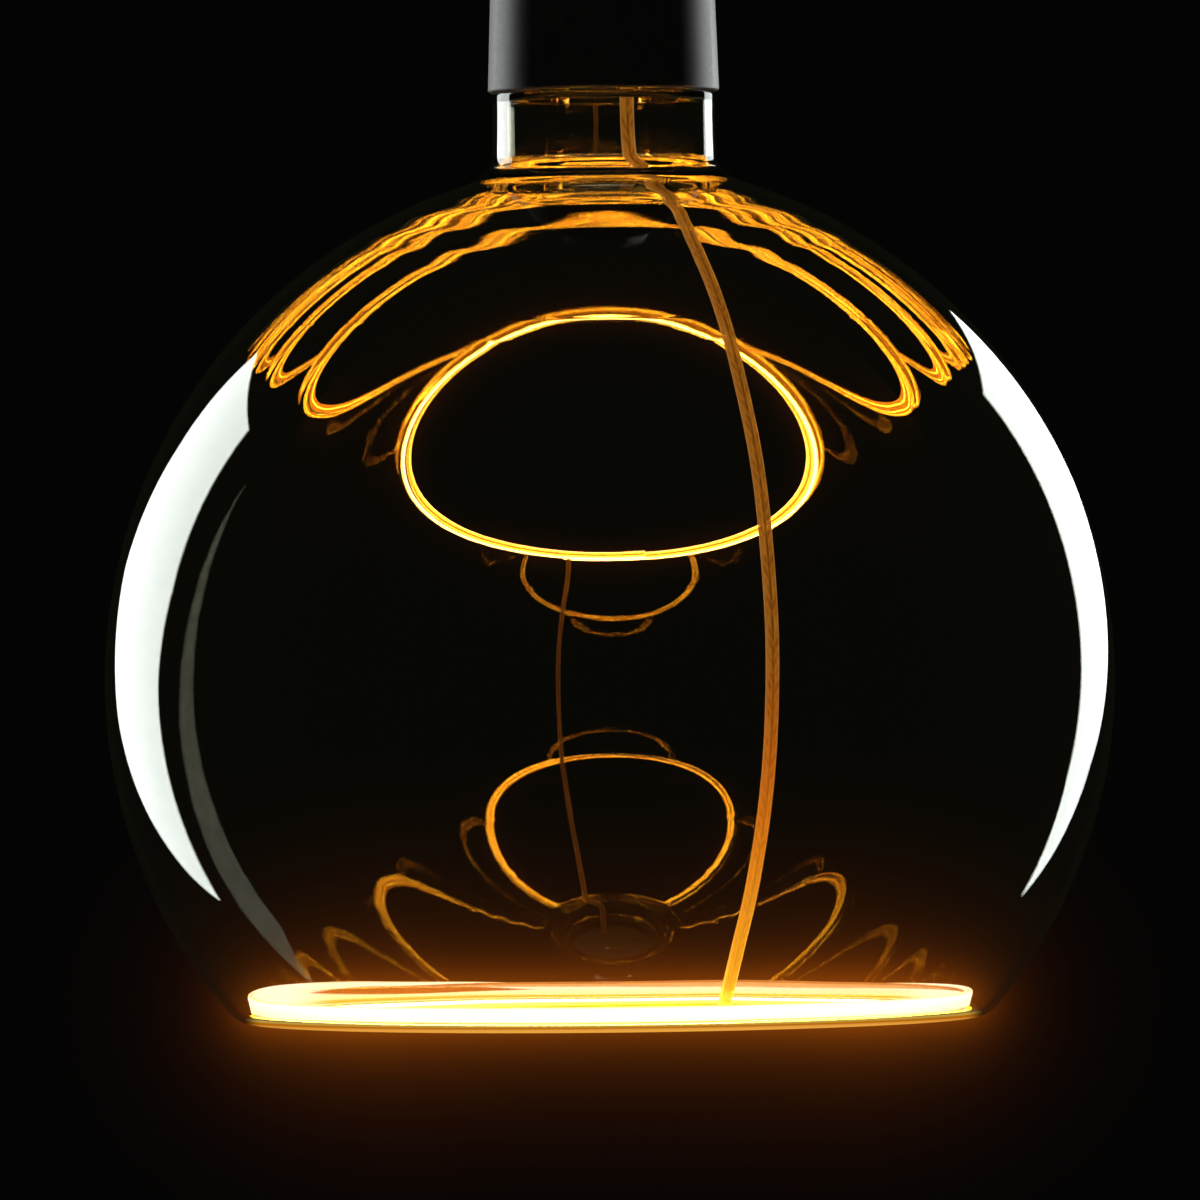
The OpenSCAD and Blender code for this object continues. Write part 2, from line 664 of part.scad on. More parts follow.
// An aluminium can on its side behind the board, with its two pins bent to the board
module filter_capacitor() {
    can_r = can_d / 2;
    color([0.25, 0.3, 0.55]) {
        translate([0, can_y, can_z]) rotate_extrude($fn = 64) polygon(concat(
            [[0, 0], [can_r - 0.4, 0], [can_r, 0.4], [can_r, 1.2], [can_r - 0.4, 1.6], [can_r, 2]],
            arc(can_r - 0.6, can_len - 0.6, 0.6, 0, 90, 4),
            [[0, can_len]]
        ));
        for (side = [-1, 1]) {
            upright(side * can_d / 5, can_y, can_z - 2 - pin_d / 2, can_z + 0.1, pin_d);
            level(side * can_d / 5, can_z - 2, board_face, can_y, pin_d);
        }
    }
}

// A dipped block with rounded edges behind the board, on two pins
module film_capacitor() {
    edge = 0.8;
    stand = 0.8;
    color([0.55, 0.2, 0.12]) {
        translate([film_x - film_w / 2, board_face + stand, film_z]) linear_extrude(film_h) {
            translate([edge, 0]) square([film_w - 2 * edge, film_d]);
            translate([0, edge]) square([film_w, film_d - 2 * edge]);
            for (x = [edge, film_w - edge], y = [edge, film_d - edge])
                translate([x, y]) circle(edge, $fn = 32);
        }
        for (side = [-1, 1])
            level(film_x, film_z + film_h / 2 + side * film_h / 4, board_face, board_face + stand + 0.2, pin_d);
    }
}

// A ferrite drum with its axis square to the board
module choke_core() {
    flange = 1;
    waist_r = choke_d / 4;
    color([0.18, 0.18, 0.19]) translate([choke_x, board_face, choke_z]) rotate([-90, 0, 0])
        rotate_extrude($fn = 64) polygon([
            [0, 0], [choke_d / 2, 0], [choke_d / 2, flange], [waist_r, flange],
            [waist_r, choke_len - flange], [choke_d / 2, choke_len - flange], [choke_d / 2, choke_len],
            [0, choke_len]
        ]);
}

module choke_winding() {
    flange = 1;
    wire = (choke_len - 2 * flange - 2 * slide_fit) / 8;
    inner = choke_d / 4 + strip_fit;
    color([0.75, 0.4, 0.15]) translate([choke_x, board_face + flange + slide_fit, choke_z]) rotate([-90, 0, 0])
        rotate_extrude($fn = 64) {
            translate([inner, 0]) square([choke_d / 2 - inner - wire, 8 * wire]);
            for (i = [0 : 7])
                translate([choke_d / 2 - wire, (i + 0.5) * wire]) circle(d = wire, $fn = 24);
        }
}

// The fuse resistor stands over the board, and its upper pin goes to the centre contact
module fuse_resistor() {
    r = fuse_d / 2;
    round_end = 0.8;
    color([0.25, 0.5, 0.3]) {
        translate([0, 0, fuse_z]) rotate_extrude($fn = 48) polygon(concat(
            [[0, 0]],
            arc(r - round_end, round_end, round_end, -90, 0, 4),
            arc(r - round_end, fuse_len - round_end, round_end, 0, 90, 4),
            [[0, fuse_len]]
        ));
        upright(0, 0, board_top - 1.9, fuse_z + 0.1, pin_d);
        upright(0, 0, fuse_z + fuse_len - 0.1, fuse_lead_end, pin_d);
    }
}

// Up along the board's edge, over the spigot, and down between spigot and shell
module return_wire() {
    color([0.75, 0.75, 0.76]) {
        upright(-return_in_r, 0, bend_z - return_len_in, bend_z, return_d);
        upright(-return_out_r, 0, bend_z - return_len_out, bend_z, return_d);
        translate([-return_in_r - bend_r, 0, bend_z]) rotate([90, 0, 0])
            rotate_extrude(angle = 180, $fn = 64) translate([bend_r, 0]) circle(d = return_d, $fn = 24);
    }
}

glass_globe();
neck_cement();
collar();
carrier_plate();
screw_shell();
cap_insulator();
centre_contact();
contact_bead();
tape_coat();
tape_strip();
light_chips();
tape_ends();
supply_lead();
lead_cores();
lead_solder();
driver_board();
driver_chip();
bridge_rectifier();
output_diode();
chip_resistors();
filter_capacitor();
film_capacitor();
choke_core();
choke_winding();
fuse_resistor();
return_wire();
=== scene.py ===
"""A clear globe lamp hung by its screw cap in the dark, with a hoop of light tape on its flat bottom."""
import math

import bmesh
import bpy
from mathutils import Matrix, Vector, noise


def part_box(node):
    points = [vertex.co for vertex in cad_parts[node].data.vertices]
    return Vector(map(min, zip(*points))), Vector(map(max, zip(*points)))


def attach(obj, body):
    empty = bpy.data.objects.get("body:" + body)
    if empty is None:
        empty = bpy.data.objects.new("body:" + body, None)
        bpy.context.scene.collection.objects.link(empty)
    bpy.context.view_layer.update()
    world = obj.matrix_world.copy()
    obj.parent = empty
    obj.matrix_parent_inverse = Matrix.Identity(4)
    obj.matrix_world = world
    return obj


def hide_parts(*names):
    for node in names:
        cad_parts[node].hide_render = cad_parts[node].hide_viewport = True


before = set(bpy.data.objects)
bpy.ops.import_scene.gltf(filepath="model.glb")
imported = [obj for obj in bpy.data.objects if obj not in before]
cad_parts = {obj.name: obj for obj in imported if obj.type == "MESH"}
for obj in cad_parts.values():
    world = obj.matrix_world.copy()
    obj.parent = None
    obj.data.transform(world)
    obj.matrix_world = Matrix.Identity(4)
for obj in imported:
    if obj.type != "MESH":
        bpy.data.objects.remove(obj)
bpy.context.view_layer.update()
MM = 0.001

# Globe, in millimetres
BALL_R = 75
BALL_Z = 50.4
WALL = 1
FILLET = 4.5
NECK_R = 16.55
FLARE = 5
NECK_LEN = 10.25
SPIGOT_R = 15.6
RIM_Z = 149.69
CORNER_R = math.sqrt((BALL_R - FILLET) ** 2 - (BALL_Z - FILLET) ** 2)
FLARE_R = NECK_R + FLARE
FLARE_Z = BALL_Z + math.sqrt((BALL_R + FLARE) ** 2 - FLARE_R ** 2)
MOUTH_Z = FLARE_Z + NECK_LEN
PLATE_TOP = 152.09
# Above its middle the blown ball bends out from a true one by this share of its curvature
SHOULDER_BEND = 0.025
# How far it is drawn in, so that no wave of its skin stands out past the CAD's box
WAVE_ROOM = 0.08
# Height over which the colours run in the painted glow of its bottom corner, which stands for the tape's
# light seen in the glass
CORNER_PAINTED_GLOW_H = 2

# Light tape, in millimetres and degrees
TAPE_T = 1.3
TAPE_H = 3
TAPE_R = CORNER_R + 0.2 - TAPE_T / 2
DRAW_IN = 0.7
START = -75
LAP = 30
BLOCK = 4.5
PLUG = 1.5
CHIP_PITCH = 2.3

# Lead: the same runs as in the part's source. From the driver board to the carrier plate, the numbers
# are x, y and height over the plate.
HEAD_RUN = [(3, -3, 8.4), (3, -5, 8.2), (3, -7.6, 6.9), (3, -9.6, 4.1), (3.1, -10.9, -0.1)]
# The same down the neck, with heights over the collar's mouth
NECK_RUN = [
    (3.2, -12.1, 8.3), (3.3, -13, 2.3), (3.3, -13.9, -3.7), (3.5, -14, -8.7),
    (4.1, -13.6, -11.1), (6.4, -13.2, -13.9), (8.8, -14.6, -16.1),
]
# The same along the ball: degrees right of the front, degrees over its centre, depth under its inner skin
BALL_RUN = [
    (25.7, 71.5, 1), (23.4, 67.5, 1.1), (20.7, 59, 1.5), (19.6, 49, 1.5), (18.9, 38, 1.3), (18.8, 24, 1.4),
    (18.5, 9, 1.2), (18.4, -2, 1.5), (18.1, -12.5, 1.6), (17.5, -23, 1.7), (16.7, -32, 1.6),
]
# The same down to the tape: degrees right of the front, distance out from the tape, and height over it
FOOT_RUN = [(16.8, 4.4, 3.6), (17.2, 1.2, 1.2), (17.4, 0, 0)]
LEAD_W = 2
LEAD_T = 0.9
LEAD_STEPS = 8

# Screw cap, in millimetres
CAP_SEAT = 171.69
SKIRT_R = 13.25
SKIRT_H = 2.5
THREAD_Z = 174.89
THREAD_LEN = 16
THREAD_STEP = 0.16
THREAD_DEPTH = 0.85
THREAD_MIDDLE = 13.1 - THREAD_DEPTH / 2
PITCH = 3.62
SHEET = 0.35
ROLL_Z = THREAD_Z + THREAD_LEN
ROLL_H = 2.3
ROLL_R = 10.2
LIP_R = 9.8
DIMPLES = 8
DIMPLE_Z = CAP_SEAT + 1.3
DIMPLE_R = 0.55
DIMPLE_DEPTH = 0.3
RESISTOR_Z = 185.94

# Camera, in metres and pixels of the 1200 x 1200 frame
EYE = (-0.00134, -1.752, 0.0623)
LENS_PX = 11800
ROLL = 0.625

# Light and floor. The haze's sizes are in millimetres, all others in metres.
GLASS_IOR = 2.2
RING_STRENGTH = 24
HAZE_STRENGTH = 0.0000355
HAZE_Z = WALL + TAPE_H / 2
HAZE_R = 38
HAZE_SOFT = 1.5
CORE_STRENGTH = 0.014
CORE_SOFT = 4.5
SOFTBOX_STRENGTH = 2.6
LAMP_AWAY = 0.5
LAMP_Z = 0.17
FLOOR_R = 1.2
FLOOR_Z = -0.35
# More reflections or faces of glass than any path of light meets
MANY = 100


def add_camera():
    data = bpy.data.cameras.new("camera")
    data.sensor_width = 36
    data.lens = 36 * LENS_PX / 1200
    data.clip_end = 30
    camera = bpy.data.objects.new("camera", data)
    camera.location = EYE
    camera.rotation_euler = (math.radians(90), math.radians(ROLL), 0)
    bpy.context.scene.collection.objects.link(camera)
    bpy.context.scene.camera = camera


def arc(x, y, r, a, b, steps):
    """Points on an arc from angle a to angle b, in degrees."""
    turns = [math.radians(a + (b - a) * i / steps) for i in range(steps + 1)]
    return [(x + r * math.cos(t), y + r * math.sin(t)) for t in turns]


def deselect():
    for obj in bpy.context.selected_objects:
        obj.select_set(False)


def lathe(name, profile, steps):
    """Spins a profile of (radius, height) points in millimetres round the Z axis."""
    deselect()
    bpy.ops.mesh.primitive_plane_add(size=MM, location=(0, 0, 0))
    obj = bpy.context.object
    obj.name = name
    bpy.ops.object.mode_set(mode="EDIT")
    bpy.ops.mesh.select_all(action="SELECT")
    bpy.ops.mesh.merge(type="CENTER")
    bpy.ops.object.mode_set(mode="OBJECT")
    obj.data.vertices[0].co = (profile[0][0] * MM, 0, profile[0][1] * MM)
    bpy.ops.object.mode_set(mode="EDIT")
    bpy.ops.mesh.select_all(action="SELECT")
    for (r, z), (next_r, next_z) in zip(profile, profile[1:]):
        step = ((next_r - r) * MM, 0, (next_z - z) * MM)
        bpy.ops.mesh.extrude_region_move(TRANSFORM_OT_translate={"value": step})
    bpy.ops.mesh.select_all(action="SELECT")
    bpy.ops.mesh.spin(steps=steps, angle=math.tau, center=(0, 0, 0), axis=(0, 0, 1))
    bpy.ops.mesh.select_all(action="SELECT")
    bpy.ops.mesh.remove_doubles(threshold=1e-7)
    bpy.ops.mesh.normals_make_consistent(inside=False)
    bpy.ops.object.mode_set(mode="OBJECT")
    bpy.ops.object.shade_smooth()
    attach(obj, "root")
    return obj


def sweep(name, rings):
    """A closed skin through rings of points in millimetres, one ring after another."""
    count = len(rings[0])
    faces = [
        (i * count + j, i * count + (j + 1) % count, (i + 1) * count + (j + 1) % count, (i + 1) * count + j)
        for i in range(len(rings) - 1) for j in range(count)
    ]
    last = (len(rings) - 1) * count
    faces += [tuple(reversed(range(count))), tuple(range(last, last + count))]
    mesh = bpy.data.meshes.new(name)
    mesh.from_pydata([[c * MM for c in p] for ring in rings for p in ring], [], faces)
    grid = bmesh.new()
    grid.from_mesh(mesh)
    bmesh.ops.recalc_face_normals(grid, faces=grid.faces)
    grid.to_mesh(mesh)
    grid.free()
    for face in mesh.polygons:
        face.use_smooth = True
    obj = bpy.data.objects.new(name, mesh)
    bpy.context.scene.collection.objects.link(obj)
    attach(obj, "root")
    return obj


def note(obj, name, values):
    """Writes a number to each vertex of a mesh, for its material to read."""
    obj.data.attributes.new(name, "FLOAT", "POINT").data.foreach_set("value", values)


def globe_profile(inset):
    """Half section of the globe, drawn inset from its outer skin, from the bottom's middle to the rim."""
    ball = BALL_R - inset
    low = math.degrees(math.asin(-(BALL_Z - FILLET) / (BALL_R - FILLET)))
    high = math.degrees(math.acos(FLARE_R / (BALL_R + FLARE)))
    flats = [0, 12, 24, 36, 46, 50, 52.5, CORNER_R - 0.15]
    return (
        [(r, inset) for r in flats]
        + arc(CORNER_R, FILLET, FILLET - inset, -90, low, 12)
        + arc(0, BALL_Z, ball, low + 0.6, 44, 62)[:-1]
        + arc(0, BALL_Z, ball, 44, high - 0.4, 108)
        + arc(FLARE_R, FLARE_Z, FLARE + inset, high + 180, 180, 12)
        + [(NECK_R - inset, FLARE_Z + share * (NECK_LEN - inset)) for share in (0.02, 0.3, 0.6, 0.95, 1)]
        + [(SPIGOT_R - inset, MOUTH_Z - inset + 0.02), (SPIGOT_R - inset, RIM_Z)]
    )


def ease(value, low, high):
    """0 below low and 1 over high, with a smooth run between them."""
    share = min(1, max(0, (value - low) / (high - low)))
    return share * share * (3 - 2 * share)


def shoulder(rise):
    """How far the shoulder stands out past a true ball at a rise over its centre, in millimetres."""
    over = math.radians(max(0, rise))
    return SHOULDER_BEND * BALL_R * over * over / 2 * (1 - ease(rise, 76, 79))


def ripple(p, seed):
    """How far blown glass stands off its true form, in metres, at a point in metres."""
    rise = math.degrees(math.atan2(p.z - BALL_Z * MM, math.hypot(p.x, p.y)))
    broad = noise.noise(Vector((p.x * 20 + 3, p.y * 20, p.z * 26)))
    fine = noise.noise(Vector((p.x * 60, p.y * 60 + seed, p.z * 60)))
    wander = noise.noise(Vector((p.x * 13, p.y * 13 + 5, 0.5)))
    rings = math.sin(math.tau * (rise / 5 + 0.5 * wander))
    low = 0.006 * fine * (1 - ease(rise, 0, 24))
    high = 0.05 * broad * ease(rise, 20, 60) + 0.006 * rings * ease(rise, 53, 61)
    return (0.02 * broad + low + high + shoulder(rise)) * MM


def make_globe():
    """The blown globe. Its inner skin follows the outer one's broad waves, and its flat bottom has none."""
    profile = globe_profile(0) + list(reversed(globe_profile(WALL)))
    globe = lathe("blown_globe", profile, 232)
    middle = Vector((0, 0, BALL_Z * MM))
    cavity = []
    for vertex in globe.data.vertices:
        out = vertex.co - middle
        inner = out.length < (BALL_R - WALL / 2) * MM and vertex.co.z < FLARE_Z * MM
        # The inner skin over the flat bottom, which the glass material turns into a mirror for some rays
        cavity.append(float(inner and vertex.co.z > 1.5 * MM))
        sway = ripple(vertex.co * (1 + WALL / BALL_R if inner else 1), 7 if inner else 0)
        drawn_in = WAVE_ROOM * MM * ease(vertex.co.z / MM, 10, 30)
        vertex.co += out.normalized() * (sway * ease(vertex.co.z / MM, 3, 12) - drawn_in)
    note(globe, "cavity", cavity)
    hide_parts("glass_globe")
    return globe


def thread_r(z, turn):
    """Radius of the rolled thread at a height over its foot and at an angle.
    The thread runs in and out over half a turn."""
    share = max(0, min(1, 2 * z / PITCH, 2 * (THREAD_LEN - z) / PITCH))
    return THREAD_MIDDLE + THREAD_DEPTH / 2 * math.cos(turn - math.tau * z / PITCH) * share


def make_shell():
    """The screw shell as rolled sheet: its thread shows inside and out.
    Punched dimples hold it on the collar."""
    steps = round(THREAD_LEN / THREAD_STEP)
    heights = [0.1 + (THREAD_LEN - 0.2) * i / steps for i in range(steps + 1)]
    outside = [(SKIRT_R, CAP_SEAT + SKIRT_H * i / 12) for i in range(13)]
    outside += [(THREAD_MIDDLE, THREAD_Z + z) for z in heights]
    inner_r = THREAD_MIDDLE - THREAD_DEPTH / 2 - SHEET
    quarter = [math.radians(90 * i / 12) for i in range(13)]
    roll = [(ROLL_R + (THREAD_MIDDLE - ROLL_R) * math.cos(t), ROLL_Z + ROLL_H * math.sin(t)) for t in quarter]
    under = [(ROLL_R + (inner_r - ROLL_R) * math.cos(t), ROLL_Z - SHEET + ROLL_H * math.sin(t))
             for t in reversed(quarter)]
    lip = [(LIP_R, ROLL_Z + ROLL_H - SHEET / 2)]
    inside = [(inner_r, CAP_SEAT + SKIRT_H), (inner_r, CAP_SEAT)]
    profile = outside + roll + lip + under + inside
    shell = lathe("rolled_shell", profile + profile[:1], 144)
    for vertex in shell.data.vertices:
        x, y, z = (c / MM for c in vertex.co)
        r = math.hypot(x, y)
        turn = math.atan2(y, x)
        height = z - THREAD_Z
        moved = r
        if r > inner_r + 0.1 and 0.05 < height < THREAD_LEN - 0.05:
            moved = thread_r(height, turn)
        elif r > SKIRT_R - 0.01:
            aside = (turn * DIMPLES / math.tau + 0.5) % 1 - 0.5
            reach = math.hypot(aside * math.tau * r / DIMPLES, z - DIMPLE_Z)
            moved = r - DIMPLE_DEPTH * math.exp(-(reach / DIMPLE_R) ** 2)
        vertex.co.x *= moved / r
        vertex.co.y *= moved / r
    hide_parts("screw_shell")
    return shell


def tape_route():
    """Points along the tape's middle line, and the outward direction at each: x, y, outward x, outward y."""
    start = math.radians(START)
    off = (-DRAW_IN * math.cos(start), -DRAW_IN * math.sin(start))
    runs = [
        ((0, 0), TAPE_R, START + BLOCK, START - 180),
        (off, TAPE_R - DRAW_IN, START + 180, START),
        ((0, 0), TAPE_R - 2 * DRAW_IN, START, START - LAP - PLUG),
    ]
    route = []
    for number, ((x, y), r, first, last) in enumerate(runs, 1):
        steps = max(2, round(first - last))
        # Only the last run keeps its end, since each other one ends where the next starts
        for i in range(steps + (number == len(runs))):
            t = math.radians(first + (last - first) * i / steps)
            route.append((x + r * math.cos(t), y + r * math.sin(t), math.cos(t), math.sin(t)))
    return route


def tape_section():
    """Outline of the coated tape in millimetres: how far it is out from its middle line, and height."""
    r = 0.5
    side = TAPE_T / 2 - r
    return (
        arc(side, r, r, -90, 0, 4) + arc(side, TAPE_H - r, r, 0, 90, 4)
        + arc(-side, TAPE_H - r, r, 90, 180, 4) + arc(-side, r, r, 180, 270, 4)
    )


def hump(turn, middle, width):
    """1 at a turn, all in degrees, and falling to 0 to both sides of it."""
    away = (turn - middle + 180) % 360 - 180
    return math.exp(-(away / width) ** 2)


def tape_lean(turn):
    """How far the tape's upper edge leans out, in millimetres, at a turn in degrees."""
    t = math.radians(turn)
    return 0.35 + 0.35 * abs(math.cos(t)) + 0.3 * max(0, math.sin(t)) - 0.3 * hump(turn, -92, 18)


def tape_heights(turn):
    """Heights of the tape's lower and upper edge in millimetres.
    It dips at its overlap and at the back, and rides up behind the left end."""
    low = WALL + 0.02 + 0.12 * (1 - hump(turn, -98, 14))
    return low, WALL + TAPE_H - 0.95 * hump(turn, 78, 45) + 0.8 * hump(turn, 150, 35)


def strip_width(turn):
    """Half height of the dark strip that shows through the inner face, as a share of the tape's height."""
    return max(-0.08, 0.19 * (1 - ((turn - 127) / 23) ** 2))


def make_tape():
    section = tape_section()
    route = tape_route()
    rings = []
    along = 0
    lengths = []
    strips = []
    for i, (x, y, out_x, out_y) in enumerate(route):
        if i:
            along += math.hypot(x - route[i - 1][0], y - route[i - 1][1])
        lengths.append(along)
        turn = math.degrees(math.atan2(y, x))
        low, high = tape_heights(turn)
        lean = tape_lean(turn)
        ring = []
        for q, z in section:
            share = z / TAPE_H
            out = q + lean * share
            ring.append((x + out_x * out, y + out_y * out, low + share * (high - low)))
        rings.append(ring)
        strips += [strip_width(turn)] * len(section)
    tape = sweep("glowing_tape", rings)
    note(tape, "side", [q / (TAPE_T / 2) for q, z in section] * len(route))
    note(tape, "height", [z / TAPE_H for q, z in section] * len(route))
    note(tape, "run", [length for length in lengths for spot in section])
    note(tape, "strip", strips)
    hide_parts("tape_coat", "tape_ends")
    return tape


def round_globe(azimuth, r, z):
    """A point at an azimuth to the right of the front."""
    a = math.radians(azimuth)
    return Vector((r * math.sin(a), -r * math.cos(a), z))


def lead_points():
    """The lead's middle line in millimetres, all four runs joined."""
    points = [Vector((x, y, PLATE_TOP + z)) for x, y, z in HEAD_RUN]
    points += [Vector((x, y, MOUTH_Z + z)) for x, y, z in NECK_RUN]
    for azimuth, rise, depth in BALL_RUN:
        r = BALL_R - WALL - depth
        e = math.radians(rise)
        points.append(round_globe(azimuth, r * math.cos(e), BALL_Z + r * math.sin(e)))
    for azimuth, out, z in FOOT_RUN:
        points.append(round_globe(azimuth, TAPE_R + out, WALL + TAPE_H + z))
    return points


def spline(points, steps):
    """A smooth curve through points, with steps to each stretch."""
    curve = []
    last = len(points) - 1
    for i in range(last):
        a, b, c, d = points[max(i - 1, 0)], points[i], points[i + 1], points[min(i + 2, last)]
        for s in range(steps):
            t = s / steps
            curve.append(0.5 * (
                2 * b + (c - a) * t + (2 * a - 5 * b + 4 * c - d) * t * t + (3 * b - a - 3 * c + d) * t ** 3
            ))
    return curve + [points[last]]


def lead_frames():
    """Each point of the lead with its flat side's and its thick side's directions."""
    middle = spline(lead_points(), LEAD_STEPS)
    frames = []
    for i, p in enumerate(middle):
        ahead = middle[min(i + 1, len(middle) - 1)] - middle[max(i - 1, 0)]
        if i == len(middle) - 1:
            ahead = Vector((0, 0, -1))
        ahead.normalize()
        # At the driver board the flat side keeps to the X axis, and then it follows the globe round
        round_axis = Vector((1, 0, 0)) if i < 3 * LEAD_STEPS else Vector((-p.y, p.x, 0)).normalized()
        flat_side = (round_axis - ahead * round_axis.dot(ahead)).normalized()
        frames.append((p, flat_side, ahead.cross(flat_side)))
    return frames


def lengths_along(points, copies):
    """The length run at each point, written once for each vertex of its ring."""
    along = 0
    lengths = []
    for i, p in enumerate(points):
        along += (p - points[max(i - 1, 0)]).length
        lengths += [along] * copies
    return lengths


def make_lead():
    lobe = LEAD_T / 2
    shift = (LEAD_W - LEAD_T) / 2
    twin = arc(shift, 0, lobe, -125, 125, 9) + arc(-shift, 0, lobe, 55, 305, 9)
    frames = lead_frames()
    rings = [[p + flat * x + thick * y for x, y in twin] for p, flat, thick in frames]
    lead = sweep("twin_lead", rings)
    note(lead, "across", [x / (LEAD_W / 2) for ring in rings for x, y in twin])
    note(lead, "run", lengths_along([p for p, flat, thick in frames], len(twin)))
    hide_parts("supply_lead")
    return lead


def material(name):
    """A new material, its tree and its main shader."""
    made = bpy.data.materials.new(name)
    made.use_nodes = True
    return made, made.node_tree, made.node_tree.nodes["Principled BSDF"]


def bare_material(obj, name):
    """Gives an object a material with no shader yet, and returns its tree."""
    made = bpy.data.materials.new(name)
    made.use_nodes = True
    made.node_tree.nodes.remove(made.node_tree.nodes["Principled BSDF"])
    obj.data.materials.append(made)
    return made.node_tree


def dress(obj, made):
    """Gives a piece its material, or a CAD node by its material slots."""
    if not obj.material_slots:
        obj.data.materials.append(made)
    for slot in obj.material_slots:
        slot.material = made


def feed(tree, socket, value):
    """Links a result to a socket, or sets the socket to a plain value."""
    if isinstance(value, bpy.types.NodeSocket):
        tree.links.new(value, socket)
    else:
        socket.default_value = value


def maths(tree, operation, *values):
    """The result of a Math node, or of a chain of them for over two values, each a link or a plain number."""
    node = tree.nodes.new("ShaderNodeMath")
    node.operation = operation
    for socket, value in zip(node.inputs, values[:2]):
        feed(tree, socket, value)
    return maths(tree, operation, node.outputs[0], *values[2:]) if values[2:] else node.outputs[0]


def mix_shaders(tree, share, first, second):
    """First where share is 0, second where it is 1."""
    node = tree.nodes.new("ShaderNodeMixShader")
    for socket, result in zip(node.inputs, (share, first, second)):
        tree.links.new(result, socket)
    return node.outputs["Shader"]


def gap(tree, colour=(1, 1, 1)):
    """Lets light straight through."""
    node = tree.nodes.new("ShaderNodeBsdfTransparent")
    node.inputs["Color"].default_value = (*colour, 1)
    return node.outputs["BSDF"]


def cover(tree, skin):
    """Makes a shader the material's surface."""
    tree.links.new(skin, tree.nodes["Material Output"].inputs["Surface"])


def place_of(tree, *values):
    """A vector of up to three results or plain numbers."""
    node = tree.nodes.new("ShaderNodeCombineXYZ")
    for socket, value in zip(node.inputs, values):
        feed(tree, socket, value)
    return node.outputs[0]


def place_of_object(tree):
    """The three Object coordinates, in metres."""
    node = tree.nodes.new("ShaderNodeSeparateXYZ")
    tree.links.new(tree.nodes.new("ShaderNodeTexCoord").outputs["Object"], node.inputs[0])
    return node.outputs


def across_of(tree, x, y):
    """Distance from the Z axis."""
    squares = [maths(tree, "MULTIPLY", side, side) for side in (x, y)]
    return maths(tree, "SQRT", maths(tree, "ADD", *squares))


def noise_of(tree, place, scale, stretch=(1, 1, 1), detail=3):
    """Noise at a place, or at Object coordinates where place is None, stretched along the axes."""
    mapping = tree.nodes.new("ShaderNodeMapping")
    mapping.inputs["Scale"].default_value = stretch
    place = place or tree.nodes.new("ShaderNodeTexCoord").outputs["Object"]
    tree.links.new(place, mapping.inputs["Vector"])
    node = tree.nodes.new("ShaderNodeTexNoise")
    node.inputs["Scale"].default_value = scale
    node.inputs["Detail"].default_value = detail
    tree.links.new(mapping.outputs[0], node.inputs["Vector"])
    return node.outputs["Fac"]


def attribute(tree, name):
    """A number that was written to the mesh."""
    node = tree.nodes.new("ShaderNodeAttribute")
    node.attribute_name = name
    return node.outputs["Fac"]


def spread(tree, value, low, high, out_low=0, out_high=1):
    """Maps a value's range to another, smoothly and without going past its ends."""
    node = tree.nodes.new("ShaderNodeMapRange")
    node.interpolation_type = "SMOOTHSTEP"
    tree.links.new(value, node.inputs["Value"])
    for name, number in zip(("From Min", "From Max", "To Min", "To Max"), (low, high, out_low, out_high)):
        node.inputs[name].default_value = number
    return node.outputs["Result"]


def blend(tree, share, first, second):
    """Colour between first and second, each a link or a plain colour."""
    node = tree.nodes.new("ShaderNodeMix")
    node.data_type = "RGBA"
    tree.links.new(share, node.inputs["Factor"])
    for name, value in (("A", first), ("B", second)):
        feed(tree, node.inputs[name], (*value, 1) if isinstance(value, tuple) else value)
    return node.outputs["Result"]


def dimmed(tree, colour, factor):
    """A colour times a factor."""
    node = tree.nodes.new("ShaderNodeVectorMath")
    node.operation = "SCALE"
    tree.links.new(colour, node.inputs[0])
    node.inputs["Scale"].default_value = factor
    return node.outputs[0]


def ramp(tree, value, stops):
    """Colours along a value, from stops of (value, colour)."""
    node = tree.nodes.new("ShaderNodeValToRGB")
    tree.links.new(value, node.inputs["Fac"])
    points = node.color_ramp.elements
    while len(points) < len(stops):
        points.new(0.5)
    for point, (place, colour) in zip(points, stops):
        point.position = place
        point.color = (*colour, 1)
    return node.outputs["Color"]


